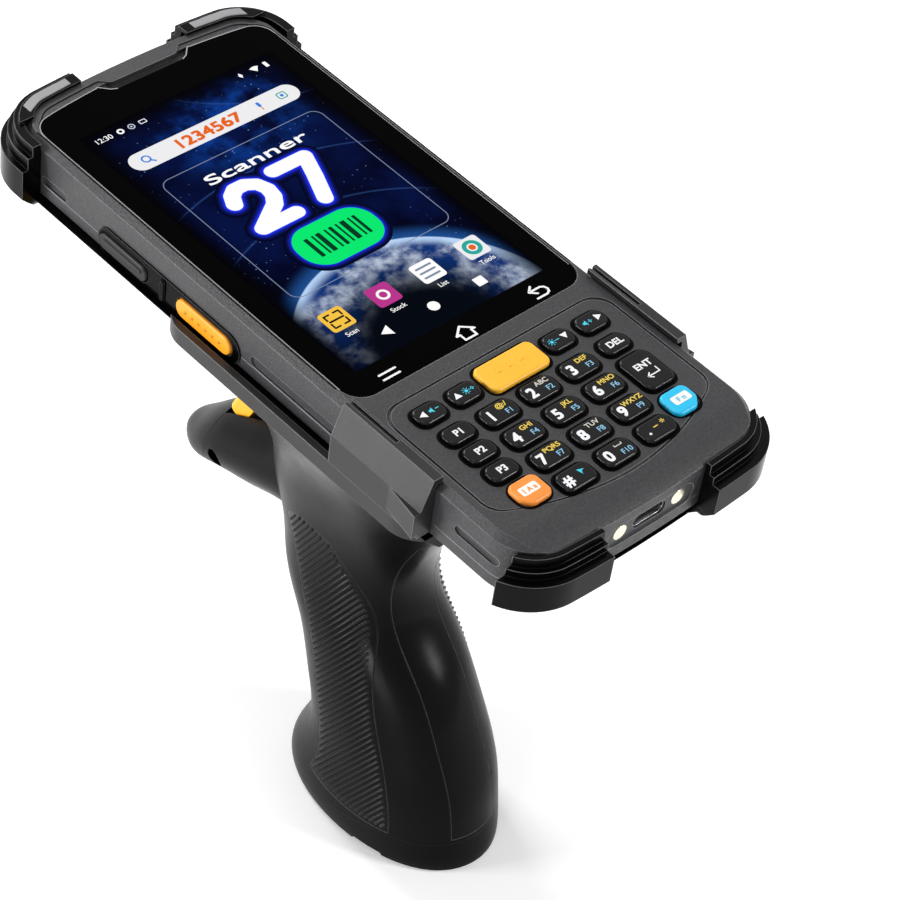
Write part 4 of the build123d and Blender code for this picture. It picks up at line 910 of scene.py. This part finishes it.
@dataclass
class Display(SubAssembly):
    """The cover glass, the picture under it and the marks printed on it.

    Attributes:
        picture: The signs that are lit over the wallpaper.
    """

    picture: Decal = field(init=False)

    def detail(self) -> None:
        """Lay the lit picture and the printed marks on the glass."""
        backdrop = Decal("display_picture", GLASS_TOP + INK_LIFT, DISPLAY_MIDDLE)
        backdrop.fill(rounded_outline(2 * DISPLAY_HALF[0], 2 * DISPLAY_HALF[1], 0.4), (0, 0),
                      WALLPAPER)
        backdrop.finish(HANDSET)
        self.picture = Decal("display_symbols", GLASS_TOP + 2 * INK_LIFT, DISPLAY_MIDDLE)
        self.status_row()
        self.search_pill()
        self.headline()
        self.badge()
        self.icons()
        self.navigation()
        self.picture.finish(HANDSET)
        self.printed_marks()
        self.bezel_lines()

    def status_row(self) -> None:
        """The time and small signs along the top edge."""
        draw, row, white = self.picture, 40.6, Pixel.WHITE
        draw.write("12:30", (-21.9, row), CLOCK, white)
        draw.fill(disc_outline(0.85), (-17.4, row), white, hole=disc_outline(0.4))
        draw.fill(disc_outline(0.85), (-14.5, row), Pixel.PALE, hole=disc_outline(0.6))
        draw.fill(disc_outline(0.25), (-14.5, row), Pixel.PALE)
        draw.fill(rounded_outline(1.8, 1.2, 0.2), (-11.5, row), white,
                  hole=rounded_outline(1.4, 0.8, 0.1))
        draw.fill([(-0.5, 0), (0, -0.9), (0.5, 0), (0, 0.9)], (15.4, row), white)
        draw.fill([(0, -0.9), (1.2, 0.6), (0.6, 0.85), (0, 0.95), (-0.6, 0.85), (-1.2, 0.6)],
                  (19.5, row), white)
        draw.fill(rounded_outline(0.9, 1.8, 0.15), (22.5, row), white)

    def search_pill(self) -> None:
        """White search bar with a ring, a row of digits and two small signs."""
        draw, row, blue = self.picture, 30.4, Pixel.BLUE
        lens, voice, target = -18.6, 12.2, 18.4
        draw.fill(rounded_outline(45.4, 5.6, 2.79, 12), (0, row), Pixel.PILL)
        draw.fill(disc_outline(1.15), (lens, row + 0.1), blue, INK_LIFT, disc_outline(0.75))
        draw.stroke([(lens + 0.7, row - 0.7), (lens + 1.4, row - 1.4)], 0.45, blue, INK_LIFT)
        draw.write("1234567", (-2.2, row), SEARCH, Pixel.ORANGE, INK_LIFT)
        draw.fill(rounded_outline(0.8, 1.7, 0.39), (voice, row + 0.4), blue, INK_LIFT)
        draw.stroke([(voice, row - 0.7), (voice, row - 1.4)], 0.3, Pixel.ORANGE, INK_LIFT)
        draw.fill(rounded_outline(2.4, 2.2, 0.6), (target, row), Pixel.TEAL, INK_LIFT,
                  rounded_outline(1.8, 1.6, 0.4))
        draw.fill(disc_outline(0.45), (target, row), blue, INK_LIFT)

    def headline(self) -> None:
        """A thin frame, and in it a word over two large digits in a blue glow."""
        draw = self.picture
        line = 0.2
        draw.fill(rounded_outline(43.2, 43.9, 2.6, 10), (0, 0.95), Pixel.FRAME,
                  hole=rounded_outline(43.2 - 2 * line, 43.9 - 2 * line, 2.6 - line, 10))
        draw.write("Scanner", (0.1, 17.4), HEADLINE, Pixel.WHITE, (GLOW_STEPS + 2) * INK_LIFT)
        first_x, foot, pitch, box, width = -8.6, -0.7, 13.2, (10.6, 13.4), 3.6
        lines = [[(first_x + pitch * number + box[0] * x, foot + box[1] * y)
                  for x, y in DIGIT_LINES[digit]] for number, digit in enumerate("27")]
        ring = 0.4
        rings = [(width + ring * (GLOW_STEPS - step), glow(step)) for step in range(GLOW_STEPS)]
        for number, (wide, surface) in enumerate([*rings, (width, Pixel.WHITE)]):
            for points in lines:
                draw.stroke(points, wide, surface, (number + 1) * INK_LIFT)

    def badge(self) -> None:
        """Green rounded badge with dark bars, in a glow of half as many steps."""
        draw, middle = self.picture, (-2.0, -11.4)
        steps, ring, level = GLOW_STEPS // 2, 0.7, GLOW_STEPS + 2
        surfaces = [glow(2 * step) for step in range(steps)] + [Pixel.GREEN]
        for step, surface in enumerate(surfaces):
            grow = ring * (steps - step)
            draw.fill(rounded_outline(20.6 + grow, 12.4 + grow, 5.6 + grow / 2, 12), middle,
                      surface, (level + step) * INK_LIFT)
        bars = {-6.4: 1.0, -4.6: 0.5, -3.2: 1.2, -1.2: 0.5, 0.2: 0.9, 1.8: 0.5, 3.4: 1.3, 5.2: 0.5,
                6.5: 0.8}
        for x, width in bars.items():
            draw.fill(rounded_outline(width, 6.2, 0.1, 1), (middle[0] + x, middle[1]), Pixel.INSIDE,
                      (level + steps + 1) * INK_LIFT)

    def icons(self) -> None:
        """Four plain application signs with a line of text under each."""
        draw, row, caption_row = self.picture, -29.9, -34.5
        scan, stock, listing, tools = -18.5, -6.1, 6.1, 18.5
        for x, surface in ((scan, Pixel.AMBER), (stock, Pixel.MAGENTA), (listing, Pixel.WHITE),
                           (tools, Pixel.PILL)):
            draw.fill(rounded_outline(6.0, 6.0, 0.8), (x, row), surface)
        for right, up in ((-1, -1), (-1, 1), (1, -1), (1, 1)):
            x, y, arm = scan + 1.9 * right, row + 1.9 * up, 1.3
            draw.stroke([(x - right * arm, y), (x, y), (x, y - up * arm)], 0.45, Pixel.DARK,
                        INK_LIFT)
        draw.stroke([(scan - 1.7, row), (scan + 1.7, row)], 0.5, Pixel.DARK, INK_LIFT)
        draw.fill(disc_outline(1.5), (stock, row), Pixel.WHITE, INK_LIFT, disc_outline(0.9))
        for y in (1.5, 0.0, -1.5):
            draw.stroke([(listing - 1.9, row + y), (listing + 1.9, row + y)], 0.55, Pixel.FRAME,
                        INK_LIFT)
        draw.fill(disc_outline(2.2), (tools, row), Pixel.TEAL, INK_LIFT, disc_outline(1.2))
        draw.fill(disc_outline(0.8), (tools, row), Pixel.ORANGE, INK_LIFT)
        for x, words in ((scan, "Scan"), (stock, "Stock"), (listing, "List"), (tools, "Tools")):
            draw.write(words, (x, caption_row), CAPTION, Pixel.WHITE)

    def navigation(self) -> None:
        """Triangle, circle and square along the lower edge."""
        draw, row, pitch = self.picture, -38.4, 12.8
        draw.fill([(-1.4, 0), (1.1, -1.5), (1.1, 1.5)], (-pitch, row), Pixel.WHITE)
        draw.fill(disc_outline(1.35), (0, row), Pixel.WHITE)
        draw.fill(rounded_outline(2.5, 2.5, 0.25), (pitch, row), Pixel.WHITE)

    def printed_marks(self) -> None:
        """Bars, a house and a turning arrow printed on the black glass below the display."""
        row, width = -47.8, 0.5
        lines = (
            [(-22.5, 0.75), (-18.3, 0.75)],
            [(-22.5, -0.75), (-18.3, -0.75)],
            [(-2.4, -0.1), (0, 1.9), (2.4, -0.1), (1.5, -0.1), (1.5, -1.8), (-1.5, -1.8),
             (-1.5, -0.1), (-2.4, -0.1)],
            [(18.6, 0.9), (21.5, 0.9), (22.3, 0.5), (22.6, -0.3), (22.3, -1.1), (21.5, -1.5),
             (18.8, -1.5)],
            [(19.9, 2.1), (18.5, 0.9), (19.9, -0.3)],
        )
        draw = Decal("glass_marks", GLASS_TOP + INK_LIFT,
                     (DISPLAY_MIDDLE[0], DISPLAY_MIDDLE[1] + row))
        for points in lines:
            draw.stroke(points, width, Ink.WHITE)
        draw.finish(HANDSET)

    def bezel_lines(self) -> None:
        """Painted highlight line round the glass, and a painted shade line along each long side of
        the bezel.
        """
        half, low, high, bow, corner = 31.3, -3.35, 102.25, 2.6, 5.0
        end_line, side_line = 0.26, 0.16
        corner_y = high - bow - corner
        radius = (half ** 2 + bow ** 2) / (2 * bow)
        # From the end of the side, round the corner and along the bowed end, into the notch.
        path = [(-half, corner_y)] + arc((-half + corner, corner_y + 0.7), corner, 180, -75, 8)
        path += [(x, high - radius + math.sqrt(radius ** 2 - x ** 2))
                 for x in (-24.0, -20.0, -16.0, -13.0)]
        path += [(-12.3, 102.0), (-10.3, 99.9), (-9.0, 99.3)]
        lines = Decal("bezel_chamfer", GLASS_TOP + INK_LIFT)
        for side in (-1, 1):
            lines.stroke([(-side * x, y) for x, y in path], end_line, CHAMFER_HIGHLIGHT)
            lines.stroke([(side * half, corner_y), (side * half, low + corner)], side_line, CHAMFER_HIGHLIGHT)
        lines.finish(HANDSET)
        # The dark lines along the bezel's long sides are painted shade.
        bezel_rise, shade_line_x, shade_line_ends, shade_line_width = 0.3, 31.95, (97.0, 2.0), 0.34
        groove_shades = Decal("bezel_grooves", GLASS_TOP + bezel_rise + INK_LIFT)
        for side in (-1, 1):
            groove_shades.stroke([(side * shade_line_x, y) for y in shade_line_ends], shade_line_width, GAP_SHADE)
        groove_shades.finish(HANDSET)


@dataclass(frozen=True)
class Legend:
    """The characters on a key.

    Attributes:
        main: Large white characters.
        upper: Small characters at the upper right.
        lower: Small pale blue characters at the lower right.
        upper_ink: Ink of the upper characters.
    """

    main: str
    upper: str = ""
    lower: str = ""
    upper_ink: Ink = Ink.YELLOW


LEGENDS = {
    "key_1": Legend("1", "@:/", "F1"), "key_2": Legend("2", "ABC", "F2", Ink.FAINT),
    "key_3": Legend("3", "DEF", "F3"), "key_4": Legend("4", "GHI", "F4"),
    "key_5": Legend("5", "JKL", "F5"), "key_6": Legend("6", "MNO", "F6"),
    "key_7": Legend("7", "PQRS", "F7"), "key_8": Legend("8", "TUV", "F8", Ink.FAINT),
    "key_9": Legend("9", "WXYZ", "F9"), "key_0": Legend("0", "", "F10"),
    "key_hash": Legend("#"), "key_p1": Legend("P1"), "key_p2": Legend("P2"),
    "key_p3": Legend("P3"), "key_delete": Legend("DEL"), "key_enter": Legend("ENT"),
}
DIGIT = Lettering(2.7, 0.045)
WORD = Lettering(1.65, 0.04, 1.05)
UPPER = Lettering(1.2, 0.03, 1.08)
LOWER = Lettering(1.35, 0.015)


@dataclass(frozen=True)
class Sign:
    """A small sign printed on a key, drawn about its own middle.

    Attributes:
        ink: Its ink.
        fills: Outlines that are filled.
        lines: Lines that are drawn along.
        width: Width of the lines.
    """

    ink: Ink
    fills: tuple[Outline, ...] = ()
    lines: tuple[Outline, ...] = ()
    width: float = 0.2

    def draw(self, decal: Decal, x: float, y: float, turn: float = 0.0) -> None:
        """Draw the sign at a place, its filled shapes turned by an angle in degrees."""
        for outline in self.fills:
            decal.fill(outline, (x, y), self.ink, turn=turn)
        for line in self.lines:
            decal.stroke([(x + right, y + up) for right, up in line], self.width, self.ink)


def spokes(count: int, inner: float, outer: float, whole: float = 360.0) -> tuple[Outline, ...]:
    """Straight lines set round a middle, between two radii."""
    turns = [math.radians(whole * step / count) for step in range(count)]
    return tuple([(radius * math.cos(turn), radius * math.sin(turn)) for radius in (inner, outer)]
                 for turn in turns)


LEVEL, UPRIGHT = [(-0.4, 0), (0.4, 0)], [(0, -0.4), (0, 0.4)]
MINUS = Sign(Ink.CYAN, lines=(LEVEL,))
PLUS = Sign(Ink.CYAN, lines=(LEVEL, UPRIGHT))
ARROW = Sign(Ink.WHITE, fills=([(0.95, 0), (-0.6, 0.9), (-0.6, -0.9)],))
SUN = Sign(Ink.CYAN, (disc_outline(0.38, 12),), spokes(8, 0.6, 0.85), 0.16)
HORN = Sign(Ink.CYAN, fills=([(-0.6, -0.3), (-0.15, -0.3), (0.35, -0.75), (0.35, 0.75),
                              (-0.15, 0.3), (-0.6, 0.3)],))
RETURN = Sign(Ink.WHITE, lines=([(1.7, 0.6), (1.7, -0.7), (-1.4, -0.7)],
                                [(-0.6, 0), (-1.5, -0.7), (-0.6, -1.4)]), width=0.3)
STOP = Sign(Ink.WHITE, fills=(disc_outline(0.3, 16),))
DASH = Sign(Ink.YELLOW, lines=([(-0.5, 0), (0.5, 0)],), width=0.26)
STAR = Sign(Ink.YELLOW, lines=spokes(3, -0.5, 0.5, 180.0), width=0.18)
SPACE = Sign(Ink.FAINT, lines=([(-0.9, 0.2), (-0.9, -0.2), (0.9, -0.2), (0.9, 0.2)],), width=0.22)
POINTER = Sign(Ink.CYAN, fills=([(-0.7, 0.7), (0.9, 0.1), (0.1, -0.1), (-0.2, -0.9)],))

# Signs of each key, with their places about its middle and, for an arrow, its turn in degrees.
SIGNS = {
    "key_nav_left": ((ARROW, -1.7, -0.1, 180), (HORN, 0.5, 0), (MINUS, 1.9, 0)),
    "key_nav_up": ((ARROW, -1.9, -0.1, 90), (SUN, 0.5, 0), (PLUS, 2.0, 0)),
    "key_nav_down": ((SUN, -1.9, 0), (MINUS, -0.4, 0), (ARROW, 1.6, 0.1, 270)),
    "key_nav_right": ((HORN, -1.7, 0), (PLUS, -0.4, 0), (ARROW, 1.8, 0.1, 0)),
    "key_enter": ((RETURN, 0, -1.2),),
    "key_dot": ((STOP, -2.3, -0.7), (DASH, 0, 0.3), (STAR, 2.1, 0.7)),
    "key_0": ((SPACE, 1.3, 1.2),),
    "key_hash": ((POINTER, 1.6, 0.4),),
}
# Label windows: how far each lies to the right, its characters, their size and their colour.
WINDOWS = {"key_shift": (-0.2, "1 A a", 1.2, ORANGE_CAP), "key_function": (0.2, "F n", 1.3, CYAN_CAP)}
KEYS = [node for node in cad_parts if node.startswith("key_")]
KEY_COLOURS = {"key_scan": AMBER_CAP, "key_shift": ORANGE_CAP, "key_function": CYAN_CAP}


@dataclass
class Keypad(SubAssembly):
    """The keys with their legends."""

    def detail(self) -> None:
        """Dress every key, print its legend and paint the shade round the keys."""
        self.paint_key_shade()
        for node in KEYS:
            dress(node, KEY_COLOURS.get(node, KEY_CAP))
            if node == "key_scan":
                self.scan_bumps(node)
            self.print_legend(node)

    def paint_key_shade(self) -> None:
        """Painted shade round the keys: black rings drawn on the keypad face, where the gaps lie
        dark.
        """
        inset, width, beside = 0.55, 0.6, 0.5
        face = surface_tree("front_housing")
        shade_rings = Decal("key_wells", 0.0)
        for node in KEYS:
            low, high = node_box(node)
            middle = (low + high) / 2
            above = Vector((high.x + beside, middle.y, high.z + 5))
            shade_rings.height = face.ray_cast(above * MM, -Z_AXIS)[0].z / MM + INK_LIFT
            wide, tall = high.x - low.x - 2 * inset, high.y - low.y - 2 * inset
            corner = 2.6 if node in WINDOWS else 1.8
            shade_rings.fill(rounded_outline(wide + 2 * width, tall + 2 * width, corner + width),
                       (middle.x, middle.y), GAP_SHADE, hole=rounded_outline(wide, tall, corner))
        shade_rings.finish(HANDSET)

    def print_legend(self, node: str) -> None:
        """Print one key's legend, which rides on the key."""
        low, high = node_box(node)
        draw = Decal(node + "_legend", high.z + INK_LIFT,
                     ((low.x + high.x) / 2, (low.y + high.y) / 2))
        if node in LEGENDS:
            self.characters(draw, LEGENDS[node])
        for sign, *place in SIGNS.get(node, ()):
            sign.draw(draw, *place)
        if node in WINDOWS:
            x, words, size, finish = WINDOWS[node]
            draw.fill(rounded_outline(4.5, 2.3, 0.5), (x, 0.1), LABEL_WINDOW)
            draw.write(words, (x, 0.1), Lettering(size), finish, INK_LIFT)
        if draw.materials:
            draw.finish(node + "_body")

    def characters(self, draw: Decal, legend: Legend) -> None:
        """Write a key's large and small characters."""
        if len(legend.main) == 1:
            draw.write(legend.main, (-2.3, -0.1), DIGIT, Ink.WHITE)
        else:
            draw.write(legend.main, (0, 1.3 if legend.main == "ENT" else 0), WORD, Ink.WHITE)
        if legend.upper:
            draw.write(legend.upper, (1.3, 1.2), UPPER, legend.upper_ink)
        if legend.lower:
            draw.write(legend.lower, (1.9, -0.85), LOWER, Ink.BLUE)

    def scan_bumps(self, node: str) -> None:
        """Three raised rounds in a row on the scan key."""
        pitch, radius, offset = 3.0, 0.45, (-0.4, 0.3)
        low, high = node_box(node)
        x, y = (low.x + high.x) / 2 + offset[0], (low.y + high.y) / 2 + offset[1]
        bumps = Relief(node + "_bumps", Z_AXIS * high.z, X_AXIS, Y_AXIS, AMBER_CAP)
        for step in (-1, 0, 1):
            bumps.add(disc_outline(radius, 20), (x + pitch * step, y), low=-0.1, high=0.22,
                      bevel=0.15)
        bumps.finish(node + "_body")


@dataclass
class Grip(SubAssembly):
    """The pistol grip with its panels, trigger and screws."""

    def detail(self) -> None:
        """Add the ribs of the panels and the trigger's spring."""
        self.return_spring()
        for word, side in SIDES:
            RibField(f"grip_panel_{word}", side).build(HANDSET, RIB_ELASTOMER)

    def return_spring(self) -> None:
        """Coil between the grip's roof and the trigger's arm: a fixed copy of the imported spring,
        which is hidden. The real coil shortens as the arm rises.
        """
        node = "trigger_spring"
        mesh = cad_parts[node].data.copy()
        mesh.materials.clear()
        spring = new_piece("return_spring", mesh, HANDSET, [STEEL.build()])
        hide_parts(node)
        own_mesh(spring)


TERMINAL = (
    Casing({
        TEXTURED_ABS: ("front_housing", "rear_housing", "battery_door"),
        SLED_ABS: ("sled_tray",),
        SATIN_ABS: ("boot_frame",),
        ELASTOMER: tuple(f"corner_guard_{end}_{side}" for end in ("scan", "keypad")
                         for side in ("left", "right")),
        GLOSS_ABS: ("side_key_frames",),
        VOLUME_CAP: ("volume_rocker",),
        KEY_CAP: ("power_key",),
        SIDE_AMBER: ("scan_key_left", "scan_key_right"),
        TINTED_WINDOW: ("scan_window",),
        GOLD_PLATE: ("dock_contacts",),
        STEEL: ("usb_socket",),
    }),
    Display({COVER_GLASS: ("touch_glass",), GLOSS_ABS: ("display_panel",)}),
    Keypad({SILICONE: ("keypad_mat",)}),
    SubAssembly({SOLDER_MASK: ("main_board",), SLEEVE: ("battery_pack",),
                 SATIN_ABS: ("scan_engine",)}),
    Grip({
        SATIN_ABS: ("grip_left_shell", "grip_right_shell", "finger_guard_cap", "butt_cap",
                    "trigger_switch"),
        ELASTOMER: ("grip_panel_left", "grip_panel_right", "grip_backstrap"),
        TRIGGER_ABS: ("trigger",),
        STEEL: ("trigger_pin",),
        BLACK_ZINC: ("grip_screws", "sled_screws"),
    }),
)


# --- Studio, in metres --------------------------------------------------------------------


@dataclass(frozen=True)
class SoftBox:
    """A square area lamp.

    Attributes:
        name: What it is called.
        place: Where it hangs.
        size: Its side.
        power: Its power in watts.
        target: What it points at.
    """

    name: str
    place: tuple[float, float, float]
    size: float
    power: float
    target: tuple[float, float, float] = (0.0, 0.03, 0.12)

    def hang(self) -> None:
        """Put the lamp into the scene."""
        lamp = bpy.data.lights.new(self.name, "AREA")
        lamp.shape = "SQUARE"
        lamp.size = self.size
        lamp.energy = self.power
        light = add_object(self.name, lamp)
        light.location = self.place
        aim = Vector(self.target) - Vector(self.place)
        light.rotation_euler = aim.to_track_quat("-Z", "Y").to_euler()


@dataclass
class Studio:
    """Pale floor, soft lights and the camera.

    Attributes:
        boxes: One lamp above, two behind the scan end, one before the keypad and one low down.
        floor_size: Half the floor's side.
        near: Distance from the object's foot where the floor starts to glow more.
        far: Distance where it is plain white.
        near_glow: Strength of its glow up to the near distance.
        fill: Strength of the white that lights the object from all round.
        camera_place: Where the camera stands.
        camera_turn: Its rotation about X, Y and Z in degrees, rolled as a hand holds the terminal.
        lens: Its focal length in mm, for a sensor 36 mm wide.
    """

    boxes: tuple[SoftBox, ...] = (
        SoftBox("top_softbox", (-0.1, 0.1, 1.0), 0.3, 1.6),
        SoftBox("far_softbox", (0.1, 0.85, 0.68), 0.35, 6.0),
        SoftBox("left_far_softbox", (-0.82, 0.52, 0.24), 0.3, 8.0),
        SoftBox("front_softbox", (0.45, -0.7, 0.5), 0.2, 5.0),
        SoftBox("low_left_softbox", (-0.75, -0.35, 0.12), 0.2, 2.0, (0.0, 0.03, 0.08)),
    )
    floor_size: float = 3.0
    near: float = 0.25
    far: float = 1.0
    near_glow: float = 0.2
    fill: float = 0.3
    camera_place: tuple[float, float, float] = (-0.33639, -0.29581, 0.55449)
    camera_turn: tuple[float, float, float] = (44.9542, -6.2375, -42.6123)
    lens: float = 121.6

    def build(self) -> None:
        """Set up the studio."""
        self.floor()
        self.world()
        for box in self.boxes:
            box.hang()
        self.camera()

    def floor(self) -> None:
        """A plain pale floor that the butt stands on."""
        bm = bmesh.new()
        bmesh.ops.create_grid(bm, x_segments=1, y_segments=1, size=self.floor_size)
        mesh = new_mesh("floor", bm)
        floor = add_object("floor", mesh)
        material = bpy.data.materials.new("matt_white_studio_sweep")
        tree = empty_tree(material)
        # The soft boxes don't reach the far floor, so it glows more the further off it is.
        place = add_node(tree, "NewGeometry").outputs["Position"]
        distance = add_node(tree, "VectorMath", {0: place}, operation="LENGTH").outputs["Value"]
        far_glow = add_node(tree, "MapRange", {
            "Value": distance, "From Min": self.near, "From Max": self.far,
            "To Min": self.near_glow}).outputs["Result"]
        shader = add_node(tree, "BsdfPrincipled", {
            "Base Color": linear("FAFAFA"), "Roughness": 0.9, "Emission Color": linear("FFFFFF"),
            "Emission Strength": self.shown(tree, 0.0, far_glow)})
        add_node(tree, "OutputMaterial", {"Surface": shader.outputs[0]})
        mesh.materials.append(material)

    def shown(self, tree: Tree, hidden: float, seen: float | Socket) -> Socket:
        """One strength for light that falls on things, and another where it is looked at."""
        path = add_node(tree, "LightPath").outputs
        direct = add_node(tree, "Math", {0: path["Is Camera Ray"], 1: path["Is Transmission Ray"]},
                          operation="MAXIMUM")
        either = add_node(tree, "Math", {0: direct.outputs[0], 1: path["Is Glossy Ray"]},
                          operation="MAXIMUM")
        return add_node(tree, "MapRange", {"Value": either.outputs[0], "To Min": hidden,
                                           "To Max": seen}).outputs["Result"]

    def world(self) -> None:
        """White where the camera and mirrors look, and a softer white for light."""
        world = bpy.data.worlds.new("studio")
        bpy.context.scene.world = world
        tree = empty_tree(world)
        sky = add_node(tree, "Background", {"Color": linear("FFFFFF"),
                                            "Strength": self.shown(tree, self.fill, 1.0)})
        add_node(tree, "OutputWorld", {"Surface": sky.outputs[0]})

    def camera(self) -> None:
        """The camera, which looks down on the keypad from the left."""
        data = bpy.data.cameras.new("camera")
        data.lens = self.lens
        data.sensor_width = 36.0
        data.clip_start = 0.01
        camera = add_object("camera", data)
        camera.location = self.camera_place
        camera.rotation_euler = [math.radians(angle) for angle in self.camera_turn]
        bpy.context.scene.camera = camera


def main() -> None:
    """Build every sub-assembly and the studio."""
    logging.basicConfig(level=logging.INFO, format="%(name)s: %(message)s")
    bpy.context.scene.view_settings.view_transform = "Standard"
    for part in (*TERMINAL, Studio()):
        part.build()
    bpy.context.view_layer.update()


if __name__ == "__main__":
    main()
